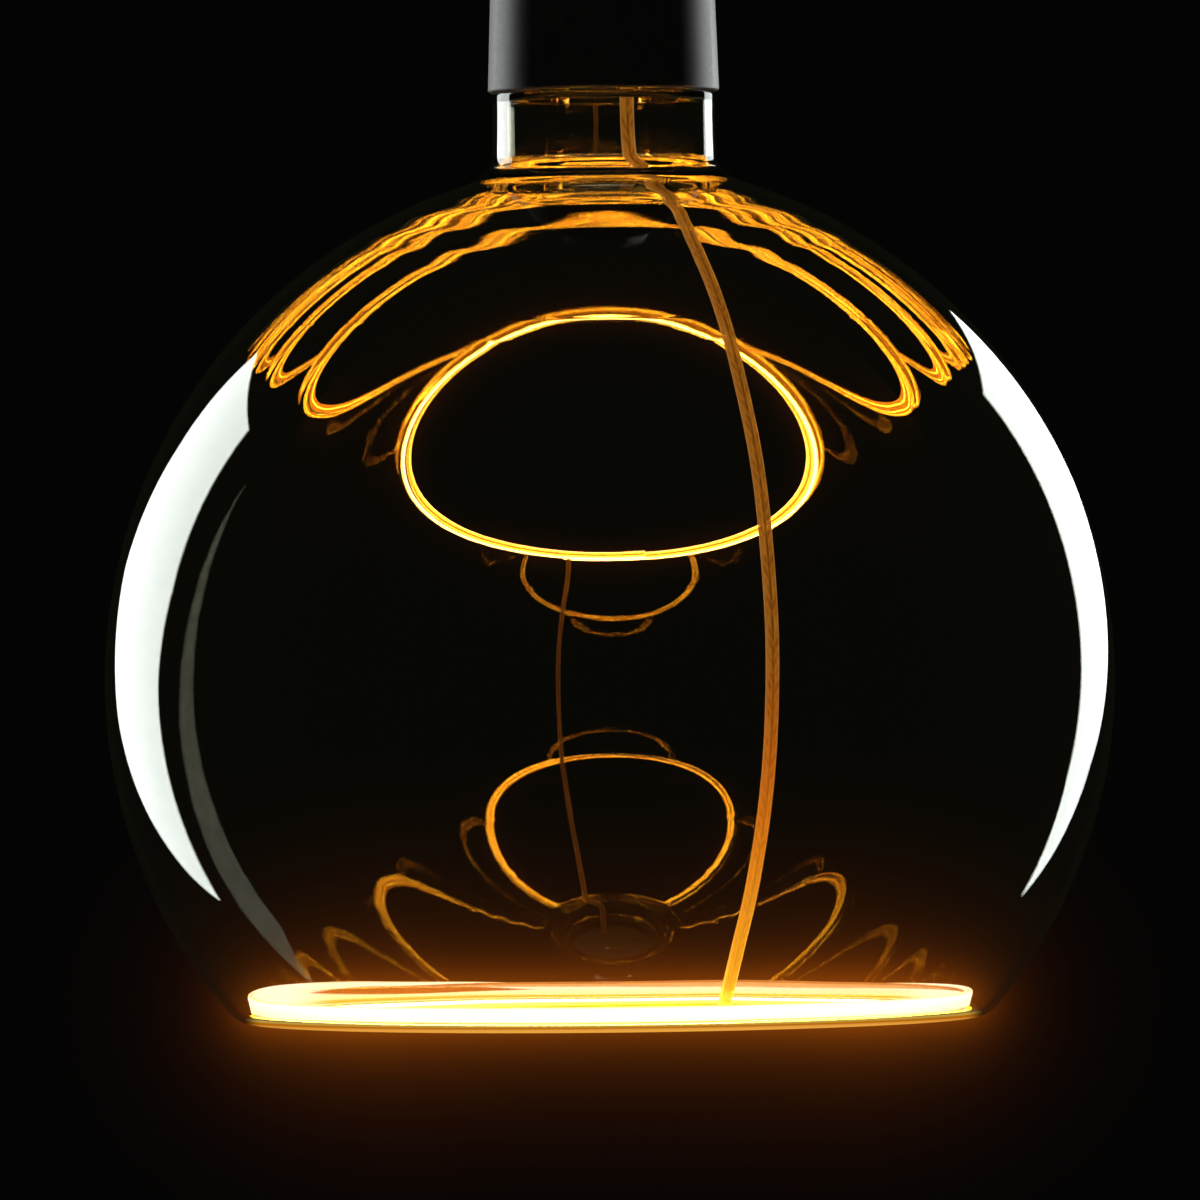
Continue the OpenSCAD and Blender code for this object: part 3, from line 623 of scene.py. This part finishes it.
def glass_material():
    """Clear glass with a painted glow in its bottom corner, which stands for the tape's light seen in it. For
    rays that were mirrored before, its inner skin is a stronger mirror, which keeps the fine rings free of
    noise, and its bottom isn't there."""
    made, tree, shader = material("clear glass")
    shader.inputs["Base Color"].default_value = (0.965, 0.94, 0.83, 1)
    shader.inputs["Roughness"].default_value = 0
    shader.inputs["IOR"].default_value = GLASS_IOR
    shader.inputs["Transmission Weight"].default_value = 1
    x, y, z = place_of_object(tree)
    # Painted light: the glass corner emits the tape's orange light, standing for what the corner would show
    # by reflection and refraction
    edge = ramp(tree, maths(tree, "DIVIDE", z, CORNER_PAINTED_GLOW_H * MM), [
        (0, (1, 0.42, 0.05)), (0.1, (0.95, 0.36, 0.025)), (0.18, (0.82, 0.22, 0.002)),
        (0.4, (0.76, 0.25, 0.003)), (0.47, (0.9, 0.55, 0.06)), (0.58, (0.8, 0.6, 0.15)), (0.68, (0, 0, 0)),
    ])
    tree.links.new(edge, shader.inputs["Emission Color"])
    in_corner = maths(tree, "GREATER_THAN", across_of(tree, x, y), CORNER_R * MM)
    # The painted glow fades out where the corner turns away at the far left and right
    from_side = spread(tree, maths(tree, "ABSOLUTE", x), 0.0545, 0.0515, 0, 0.5)
    tree.links.new(maths(tree, "MULTIPLY", in_corner, from_side), shader.inputs["Emission Strength"])

    path = tree.nodes.new("ShaderNodeLightPath").outputs
    bounced = maths(tree, "GREATER_THAN", path["Glossy Depth"], 0.5)
    once = maths(tree, "LESS_THAN", path["Glossy Depth"], 1.5)
    facing = maths(tree, "SUBTRACT", 1, tree.nodes.new("ShaderNodeNewGeometry").outputs["Backfacing"])
    rear = maths(tree, "MULTIPLY", spread(tree, y, -0.008, 0.004), spread(tree, z, 0.01, 0.024, 0.35, 1))
    fore = maths(tree, "MULTIPLY", spread(tree, z, 0.068, 0.078, 0, 0.5), once)
    reach = maths(tree, "MAXIMUM", rear, fore)
    again = maths(tree, "MULTIPLY", bounced, facing, reach, attribute(tree, "cavity"), 0.85)
    mirror = tree.nodes.new("ShaderNodeBsdfAnisotropic")
    mirror.inputs["Color"].default_value = (1, 1, 1, 1)
    mirror.inputs["Roughness"].default_value = 0
    skin = mix_shaders(tree, again, shader.outputs["BSDF"], mirror.outputs["BSDF"])
    past_bottom = maths(tree, "MULTIPLY", maths(tree, "LESS_THAN", z, 1.05 * WALL * MM), bounced)
    skin = mix_shaders(tree, past_bottom, skin, gap(tree))
    cover(tree, mix_shaders(tree, path["Is Shadow Ray"], skin, gap(tree, (0.95, 0.93, 0.86))))
    return made


def tape_material():
    """Silicone lit from within. Its chips show as ticks, and its dark strip as a lens on the inner face. Rays
    mirrored twice see painted reflection lines on it.
    """
    made, tree, shader = material("glowing coat")
    side, height, run, strip = (attribute(tree, name) for name in ("side", "height", "run", "strip"))
    wave = maths(tree, "COSINE", maths(tree, "MULTIPLY", run, math.tau / CHIP_PITCH))
    ticks = spread(tree, wave, -0.6, 0.8)
    outer = blend(tree, ticks, (0.62, 0.32, 0.016), (1.1, 0.62, 0.04))
    middle_off = maths(tree, "ABSOLUTE", maths(tree, "SUBTRACT", height, 0.5))
    inner = blend(tree, spread(tree, middle_off, 0.05, 0.15), (0.16, 0.05, 0.001), (0.62, 0.3, 0.016))
    top = blend(tree, spread(tree, middle_off, 0.3, 0.5), inner, (1.3, 0.75, 0.28))
    mirrored = blend(tree, spread(tree, side, -0.7, 0.9), top, outer)

    front = ramp(tree, height, [
        (0.02, (0.05, 0.012, 0.0003)), (0.1, (0.065, 0.035, 0.004)), (0.28, (0.1, 0.09, 0.06)),
        (0.9, (0.12, 0.11, 0.09)), (1, (0.08, 0.06, 0.03)),
    ])
    rear = ramp(tree, height, [
        (0.03, (0.06, 0.052, 0.02)), (0.11, (0.045, 0.022, 0.001)), (0.18, (0.05, 0.03, 0.003)),
        (0.28, (0.06, 0.053, 0.025)), (0.5, (0.06, 0.052, 0.03)), (0.95, (0.06, 0.056, 0.045)),
        (1, (0.058, 0.045, 0.01)),
    ])
    x = place_of_object(tree)[0]
    near_end = spread(tree, maths(tree, "ABSOLUTE", x), 0.042, 0.051)
    rear = blend(tree, near_end, rear, (0.075, 0.07, 0.055))
    strip_off = maths(tree, "ABSOLUTE", maths(tree, "SUBTRACT", height, 0.58))
    past_strip = maths(tree, "SUBTRACT", strip_off, strip)
    specks = noise_of(tree, place_of(tree, run, height), 9, (0.7, 6, 1))
    dark = blend(tree, spread(tree, specks, 0.55, 0.7), (0.013, 0.0028, 0.0002), (0.045, 0.018, 0.002))
    rear = blend(tree, spread(tree, past_strip, -0.03, 0.05), dark, rear)
    seen = blend(tree, spread(tree, side, -0.5, 0.3), rear, front)

    path = tree.nodes.new("ShaderNodeLightPath").outputs
    looked_at = maths(tree, "MAXIMUM", path["Is Camera Ray"], path["Is Transmission Ray"])
    bounced = maths(tree, "GREATER_THAN", path["Glossy Depth"], 0.5)
    twice = maths(tree, "GREATER_THAN", path["Glossy Depth"], 1.5)
    shining = blend(tree, looked_at, (1, 0.5, 0.2), seen)
    # Painted reflection lines: in rays mirrored twice or more the tape shines in combed lines, which stand
    # for the fine rings that the rippled glass mirrors
    turns = maths(tree, "ADD", maths(tree, "MULTIPLY", height, 2.2), maths(tree, "MULTIPLY", side, 1.1),
                  noise_of(tree, place_of(tree, run), 0.06))
    lines = spread(tree, maths(tree, "SINE", maths(tree, "MULTIPLY", turns, math.tau)), 0.7, 1)
    painted_ring_lines = blend(tree, lines, (0.2, 0.05, 0.0004), (1.6, 0.68, 0.035))
    mirrored = blend(tree, twice, mirrored, painted_ring_lines)
    tree.links.new(blend(tree, bounced, shining, mirrored), shader.inputs["Emission Color"])
    shader.inputs["Emission Strength"].default_value = RING_STRENGTH
    shader.inputs["Base Color"].default_value = (0.3, 0.17, 0.05, 1)
    shader.inputs["Roughness"].default_value = 0.4
    return made


def lead_material():
    """Clear amber jacket over two copper cores, with pale edges, slanting strands and a dark groove between.
    It has painted light: a dim glow of its own colour all along and a bright one near the tape, standing for
    the tape's light on it. It isn't there for rays that were mirrored twice."""
    made, tree, shader = material("amber jacket over copper")
    across = attribute(tree, "across")
    run = attribute(tree, "run")
    off = maths(tree, "ABSOLUTE", across)
    twist = maths(tree, "ADD", maths(tree, "MULTIPLY", run, 3.1), maths(tree, "MULTIPLY", off, 7))
    strands = spread(tree, maths(tree, "SINE", twist), -1, 1)
    patches = noise_of(tree, place_of(tree, run, across), 1, (0.35, 1.4, 1))
    copper = blend(tree, strands, (0.26, 0.08, 0.004), (0.46, 0.16, 0.01))
    copper = blend(tree, spread(tree, patches, 0.35, 0.65), copper, (0.5, 0.2, 0.02))
    groove = maths(tree, "MULTIPLY", spread(tree, off, 0.3, 0.02), spread(tree, patches, 0.3, 0.6))
    cores = blend(tree, groove, copper, (0.16, 0.045, 0.002))
    jacket = blend(tree, spread(tree, off, 0.72, 0.95), cores, (0.46, 0.2, 0.04))
    tree.links.new(jacket, shader.inputs["Base Color"])
    shader.inputs["Roughness"].default_value = 0.3
    shader.inputs["IOR"].default_value = 1.5
    # Painted light: the jacket glows at its own colour all along and orange to yellow near the tape, standing
    # for the tape's light that falls on it and runs along it
    painted_glow_share = spread(tree, place_of_object(tree)[2], 0.06, 0.003)
    glow = blend(tree, maths(tree, "MULTIPLY", painted_glow_share, painted_glow_share), (1, 0.17, 0.001), (1.1, 0.5, 0.02))
    tree.links.new(blend(tree, painted_glow_share, dimmed(tree, jacket, 0.6), glow), shader.inputs["Emission Color"])
    depth = tree.nodes.new("ShaderNodeLightPath").outputs["Glossy Depth"]
    tree.links.new(spread(tree, depth, 0, 1, 1, 0.15), shader.inputs["Emission Strength"])
    twice = maths(tree, "GREATER_THAN", depth, 1.5)
    cover(tree, mix_shaders(tree, twice, shader.outputs["BSDF"], gap(tree)))
    return made


def bump(shader, height, distance):
    """Raises the surface by height times a distance in metres."""
    tree = height.id_data
    node = tree.nodes.new("ShaderNodeBump")
    node.inputs["Distance"].default_value = distance
    tree.links.new(height, node.inputs["Height"])
    tree.links.new(node.outputs["Normal"], shader.inputs["Normal"])


def finish(name, light, dark, roughness, scale, raised=0.00002, metallic=0):
    """A finish that wanders between two colours and two roughnesses, with a fine bump."""
    made, tree, shader = material(name)
    patches = noise_of(tree, None, scale)
    tree.links.new(blend(tree, spread(tree, patches, 0.3, 0.7), dark, light), shader.inputs["Base Color"])
    tree.links.new(spread(tree, patches, 0.3, 0.7, *roughness), shader.inputs["Roughness"])
    shader.inputs["Metallic"].default_value = metallic
    bump(shader, noise_of(tree, None, scale * 3), raised)
    return made


def collar_material():
    """Matte black moulding."""
    made = finish("matte black", (0.0018, 0.0018, 0.0019), (0.0012, 0.0012, 0.0013), (0.4, 0.48), 900,
                  0.000008)
    made.node_tree.nodes["Principled BSDF"].inputs["IOR"].default_value = 1.5
    return made


def legs_over(made, share):
    """Turns a finish to tinned metal where share is 1."""
    tree = made.node_tree
    shader = tree.nodes["Principled BSDF"]
    body = shader.inputs["Base Color"].links[0].from_socket
    tree.links.new(blend(tree, share, body, (0.72, 0.71, 0.69)), shader.inputs["Base Color"])
    tree.links.new(share, shader.inputs["Metallic"])
    return made


def past(tree, axis, middle, half):
    """1 where an Object coordinate is more than half from its middle, all in millimetres."""
    value = place_of_object(tree)[axis]
    off = maths(tree, "ABSOLUTE", maths(tree, "SUBTRACT", value, middle * MM))
    return maths(tree, "GREATER_THAN", off, half * MM)


def package_material(node, half):
    """Moulded black body with tinned legs left and right of it."""
    low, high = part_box(node)
    made = finish(node + " black", (0.03, 0.03, 0.033), (0.02, 0.02, 0.022), (0.5, 0.65), 1800)
    return legs_over(made, past(made.node_tree, 0, (low[0] + high[0]) / 2 / MM, half))


def board_material():
    """Green mask over copper tracks that run up the board, with bare pads in rows."""
    made, tree, shader = material("board mask")
    lanes = maths(tree, "MULTIPLY", place_of_object(tree)[0], 900)
    drift = maths(tree, "MULTIPLY", noise_of(tree, None, 160, (1, 1, 0.25), 1), 9)
    turns = maths(tree, "MULTIPLY", maths(tree, "ADD", lanes, drift), math.tau / 2)
    tracks = spread(tree, maths(tree, "SINE", turns), 0.1, 0.3)
    green = blend(tree, tracks, (0.018, 0.12, 0.05), (0.04, 0.2, 0.08))
    dots = tree.nodes.new("ShaderNodeTexVoronoi")
    dots.inputs["Scale"].default_value = 260
    dots.inputs["Randomness"].default_value = 0.55
    tree.links.new(tree.nodes.new("ShaderNodeTexCoord").outputs["Object"], dots.inputs["Vector"])
    pads = spread(tree, dots.outputs["Distance"], 0.17, 0.14)
    tree.links.new(blend(tree, pads, green, (0.7, 0.69, 0.66)), shader.inputs["Base Color"])
    tree.links.new(pads, shader.inputs["Metallic"])
    shader.inputs["Roughness"].default_value = 0.35
    bump(shader, tracks, 0.00003)
    return made


def can_material():
    """Dark blue sleeve with one pale stripe. The can's top and its pins are bare metal."""
    made = finish("can sleeve", (0.02, 0.03, 0.14), (0.015, 0.022, 0.11), (0.25, 0.35), 300)
    tree = made.node_tree
    shader = tree.nodes["Principled BSDF"]
    low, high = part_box("filter_capacitor")
    x, y, z = place_of_object(tree)
    stripe = maths(tree, "LESS_THAN", maths(tree, "ABSOLUTE", x), 0.0009)
    back = maths(tree, "GREATER_THAN", y, (low[1] + high[1]) / 2 + 0.002)
    body = shader.inputs["Base Color"].links[0].from_socket
    striped = blend(tree, maths(tree, "MULTIPLY", stripe, back), body, (0.6, 0.62, 0.66))
    tree.links.new(striped, shader.inputs["Base Color"])
    ends = maths(tree, "GREATER_THAN", z, high[2] - 0.0005)
    pins = maths(tree, "LESS_THAN", z, high[2] - 0.01405)
    return legs_over(made, maths(tree, "MAXIMUM", ends, pins))


def resistor_material():
    """Painted green body with plain colour rings, on two tinned wires."""
    made = finish("resistor paint", (0.12, 0.3, 0.17), (0.09, 0.25, 0.14), (0.3, 0.4), 700)
    tree = made.node_tree
    shader = tree.nodes["Principled BSDF"]
    x, y, z = place_of_object(tree)
    body = shader.inputs["Base Color"].links[0].from_socket
    for step, colour in enumerate(((0.35, 0.05, 0.01), (0.02, 0.02, 0.02), (0.5, 0.3, 0.02))):
        ring = RESISTOR_Z * MM + (step - 1) * 0.0011
        off = maths(tree, "ABSOLUTE", maths(tree, "SUBTRACT", z, ring))
        body = blend(tree, maths(tree, "LESS_THAN", off, 0.00025), body, colour)
    tree.links.new(body, shader.inputs["Base Color"])
    return legs_over(made, maths(tree, "LESS_THAN", across_of(tree, x, y), 0.00045))


def strip_material():
    """Pale printed strip with a copper track along each edge."""
    made, tree, shader = material("printed strip")
    z = place_of_object(tree)[2]
    off = maths(tree, "ABSOLUTE", maths(tree, "SUBTRACT", z, (WALL + TAPE_H / 2) * MM))
    track = spread(tree, off, 0.00075, 0.0008)
    pale = blend(tree, noise_of(tree, None, 400), (0.75, 0.68, 0.52), (0.85, 0.8, 0.66))
    tree.links.new(blend(tree, track, pale, (0.62, 0.4, 0.2)), shader.inputs["Base Color"])
    shader.inputs["Roughness"].default_value = 0.55
    return made


def chip_material():
    """Yellow phosphor, lit."""
    made = finish("phosphor", (0.95, 0.72, 0.16), (0.85, 0.6, 0.1), (0.4, 0.5), 3000)
    shader = made.node_tree.nodes["Principled BSDF"]
    shader.inputs["Emission Color"].default_value = (1, 0.75, 0.3, 1)
    shader.inputs["Emission Strength"].default_value = 4
    return made


def strand_material():
    """Twisted copper strands."""
    made, tree, shader = material("copper strands")
    slant = maths(tree, "MULTIPLY", maths(tree, "ADD", *place_of_object(tree)), 26000)
    strands = spread(tree, maths(tree, "SINE", slant), -1, 1)
    tree.links.new(blend(tree, strands, (0.5, 0.2, 0.09), (0.85, 0.46, 0.28)), shader.inputs["Base Color"])
    shader.inputs["Metallic"].default_value = 1
    shader.inputs["Roughness"].default_value = 0.3
    bump(shader, strands, 0.00003)
    return made


def shell_material():
    """Bright rolled sheet: fine lines round the cap, and dull patches where it has been handled."""
    made, tree, shader = material("rolled sheet")
    lines = noise_of(tree, None, 60, (1, 1, 60), 4)
    patches = noise_of(tree, None, 90)
    tone = blend(tree, spread(tree, patches, 0.35, 0.7), (0.83, 0.82, 0.79), (0.7, 0.69, 0.66))
    tree.links.new(tone, shader.inputs["Base Color"])
    shader.inputs["Metallic"].default_value = 1
    tree.links.new(spread(tree, lines, 0.3, 0.7, 0.2, 0.34), shader.inputs["Roughness"])
    bump(shader, lines, 0.00002)
    return made


def path_choice(tree, seen, mirrored, most_glass=MANY, most=MANY):
    """First shader where a thing is seen directly or through glass, second where it is seen mirrored,
    in 1 to most reflections and through at most most_glass faces of glass."""
    path = tree.nodes.new("ShaderNodeLightPath").outputs
    bounced = maths(tree, "GREATER_THAN", path["Glossy Depth"], 0.5)
    few = maths(tree, "LESS_THAN", path["Glossy Depth"], most + 0.5)
    clear = maths(tree, "LESS_THAN", path["Transmission Depth"], most_glass + 0.5)
    return mix_shaders(tree, maths(tree, "MULTIPLY", bounced, few, clear), seen, mirrored)


def backdrop(tree, colour):
    """A world shader of one colour."""
    node = tree.nodes.new("ShaderNodeBackground")
    node.inputs["Color"].default_value = (*colour, 1)
    return node.outputs["Background"]


def world_light():
    """Plain soft light on all dull surfaces, and a dark room behind glass, in mirrors and in view."""
    world = bpy.data.worlds.new("room")
    bpy.context.scene.world = world
    world.use_nodes = True
    tree = world.node_tree
    tree.nodes.remove(tree.nodes["Background"])
    dark = path_choice(tree, backdrop(tree, (0.0013, 0.0013, 0.0012)), backdrop(tree, (0.004, 0.004, 0.0025)))
    diffuse = tree.nodes.new("ShaderNodeLightPath").outputs["Is Diffuse Ray"]
    room = mix_shaders(tree, diffuse, dark, backdrop(tree, (0.85, 0.85, 0.85)))
    tree.links.new(room, tree.nodes["World Output"].inputs["Surface"])


def aimed(bearing, rise):
    """A direction: a bearing to the right of straight back and a rise, in degrees."""
    b = math.radians(bearing)
    e = math.radians(rise)
    return Vector((math.cos(e) * math.sin(b), math.cos(e) * math.cos(b), math.sin(e)))


def softbox(name, near, far, most_glass, corners):
    """A lit panel that only glass and gloss reflect, upright between two points of the floor plan in metres.
    Its corners are given by the bearings and rises at which the globe's skin mirrors them."""
    centre = Vector((0, 0, BALL_Z * MM))
    spot = Vector((*near, 0))
    normal = Vector((far[1] - near[1], near[0] - far[0], 0))
    spots = []
    for corner in corners:
        aim = aimed(*corner)
        start = centre + (aim - Vector((0, 1, 0))).normalized() * BALL_R * MM
        spots.append(start + aim * (spot - start).dot(normal) / aim.dot(normal))
    mesh = bpy.data.meshes.new(name)
    mesh.from_pydata(spots, [], [tuple(range(len(spots)))])
    panel = bpy.data.objects.new(name, mesh)
    bpy.context.scene.collection.objects.link(panel)
    tree = bare_material(panel, name)
    light = tree.nodes.new("ShaderNodeEmission")
    light.inputs["Strength"].default_value = SOFTBOX_STRENGTH
    light.inputs["Color"].default_value = (0.93, 1, 0.98, 1)
    cover(tree, path_choice(tree, gap(tree), light.outputs["Emission"], most_glass, 1))
    panel.visible_camera = False
    panel.visible_diffuse = False
    panel.visible_shadow = False


def cap_light(pieces, name, aim, width, height, power):
    """A soft lamp that lights only some pieces, and shines on collar and cap from a direction.
    Its sides are in metres and its power in watts."""
    data = bpy.data.lights.new(name, "AREA")
    data.shape = "RECTANGLE"
    data.size = width
    data.size_y = height
    data.energy = power
    lamp = bpy.data.objects.new(name, data)
    lamp.location = Vector((0, 0, LAMP_Z)) + aim * LAMP_AWAY
    lamp.rotation_euler = aim.to_track_quat("Z", "Y").to_euler()
    lamp.visible_camera = False
    lamp.light_linking.receiver_collection = pieces
    bpy.context.scene.collection.objects.link(lamp)


def add_haze():
    """Glow in the air round the ring of light, as strong as one over the distance when seen from the side,
    with a stronger core close to the tape."""
    deselect()
    bpy.ops.mesh.primitive_torus_add(major_radius=TAPE_R * MM, minor_radius=HAZE_R * MM, major_segments=48,
                                     minor_segments=24, location=(0, 0, HAZE_Z * MM))
    haze = bpy.context.object
    haze.name = "haze"
    bpy.ops.object.transform_apply(location=True)
    tree = bare_material(haze, "haze")
    x, y, z = place_of_object(tree)
    across = across_of(tree, x, y)
    out = maths(tree, "SUBTRACT", across, TAPE_R * MM)
    up = maths(tree, "SUBTRACT", z, HAZE_Z * MM)
    square = maths(tree, "ADD", maths(tree, "MULTIPLY", out, out), maths(tree, "MULTIPLY", up, up))
    near = maths(tree, "DIVIDE", 1, maths(tree, "ADD", square, (HAZE_SOFT * MM) ** 2))
    wide = maths(tree, "MAXIMUM", maths(tree, "SUBTRACT", near, 1 / (HAZE_R * MM) ** 2), 0)
    soft = maths(tree, "DIVIDE", CORE_STRENGTH, maths(tree, "ADD", square, (CORE_SOFT * MM) ** 2))
    glow = maths(tree, "ADD", wide, maths(tree, "MULTIPLY", soft, soft))
    share = spread(tree, maths(tree, "POWER", maths(tree, "DIVIDE", y, across), 2), 0, 0.6, 0.25, 1)
    light = tree.nodes.new("ShaderNodeEmission")
    light.inputs["Color"].default_value = (1, 0.21, 0.006, 1)
    tree.links.new(maths(tree, "MULTIPLY", glow, HAZE_STRENGTH, share), light.inputs["Strength"])
    tree.links.new(light.outputs["Emission"], tree.nodes["Material Output"].inputs["Volume"])
    haze.visible_diffuse = False
    haze.visible_glossy = False
    haze.visible_shadow = False


def add_floor():
    """A pale plain floor that the globe doesn't mirror."""
    deselect()
    bpy.ops.mesh.primitive_circle_add(vertices=128, radius=FLOOR_R, fill_type="NGON",
                                      location=(0, 0, FLOOR_Z))
    floor = bpy.context.object
    floor.name = "floor"
    made, tree, shader = material("pale floor")
    shader.inputs["Base Color"].default_value = (0.8, 0.8, 0.79, 1)
    shader.inputs["Roughness"].default_value = 0.8
    cover(tree, path_choice(tree, shader.outputs["BSDF"], gap(tree)))
    floor.data.materials.append(made)


add_camera()
lead = make_lead()
globe = make_globe()
tape = make_tape()
shell = make_shell()

tinned = finish("tinned metal", (0.74, 0.72, 0.68), (0.6, 0.58, 0.54), (0.25, 0.4), 600, 0.00003, 1)
finishes = {
    "collar": collar_material(),
    "neck_cement": finish("cement", (0.05, 0.048, 0.044), (0.03, 0.029, 0.027), (0.8, 0.9), 700, 0.0001),
    "carrier_plate": finish("dark moulding", (0.09, 0.09, 0.095), (0.07, 0.07, 0.074), (0.45, 0.6), 500),
    "cap_insulator": finish("black insulator", (0.02, 0.02, 0.023), (0.014, 0.014, 0.016), (0.12, 0.2), 350),
    "centre_contact": tinned,
    "contact_bead": finish("solder", (0.66, 0.66, 0.66), (0.5, 0.5, 0.5), (0.3, 0.5), 500, 0.00012, 1),
    "tape_strip": strip_material(),
    "light_chips": chip_material(),
    "lead_cores": strand_material(),
    "lead_solder": tinned,
    "driver_board": board_material(),
    "driver_chip": package_material("driver_chip", 1.96),
    "bridge_rectifier": package_material("bridge_rectifier", 1.92),
    "output_diode": package_material("output_diode", 2.11),
    "chip_resistors": finish("resistor black", (0.035, 0.035, 0.038), (0.022, 0.022, 0.025), (0.3, 0.5),
                             1200),
    "filter_capacitor": can_material(),
    "film_capacitor": finish("dipped coat", (0.36, 0.11, 0.055), (0.28, 0.08, 0.04), (0.15, 0.22), 250,
                             0.0001),
    "choke_core": finish("ferrite", (0.11, 0.11, 0.115), (0.06, 0.06, 0.064), (0.5, 0.7), 1500, 0.00005),
    "choke_winding": finish("enamelled wire", (0.6, 0.24, 0.06), (0.45, 0.16, 0.035), (0.22, 0.32), 500,
                            metallic=1),
    "fuse_resistor": resistor_material(),
    "return_wire": tinned,
}
for node, made in finishes.items():
    dress(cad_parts[node], made)
dress(globe, glass_material())
dress(tape, tape_material())
dress(lead, lead_material())
dress(shell, shell_material())

top_pieces = bpy.data.collections.new("collar and cap")
cap_pieces = bpy.data.collections.new("cap")
top_pieces.objects.link(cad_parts["collar"])
for piece in (shell, *(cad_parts[node] for node in ("cap_insulator", "centre_contact", "contact_bead"))):
    top_pieces.objects.link(piece)
    cap_pieces.objects.link(piece)
cap_light(top_pieces, "left_rim", aimed(-47, 0), 0.12, 0.4, 1.5)
cap_light(top_pieces, "right_rim", aimed(44, 0), 0.12, 0.4, 1.5)
cap_light(cap_pieces, "overhead", aimed(30, 60), 0.3, 0.3, 1)

world_light()
softbox("left_softbox", (-0.225, 0.277), (-0.354, 0.164), 3,
        [(-32, 26), (-57, 30), (-57, 10), (-55, 0), (-54, -24), (-42, -14), (-27, -2), (-22, 5), (-28, 14)])
softbox("right_softbox", (0.141, 0.171), (0.318, 0.233), MANY,
        [(40, 25), (15, 15), (10, 4), (20, 1), (32, -6), (39, -14), (45, -21), (46, -9), (44, 0)])
add_haze()
add_floor()

scene = bpy.context.scene
scene.view_settings.view_transform = "Standard"
scene.cycles.sample_clamp_indirect = 0
scene.cycles.use_denoising = True
scene.cycles.use_adaptive_sampling = False
scene.cycles.max_bounces = 40
scene.cycles.glossy_bounces = 6
scene.cycles.volume_step_rate = 1
scene.cycles.transmission_bounces = 40
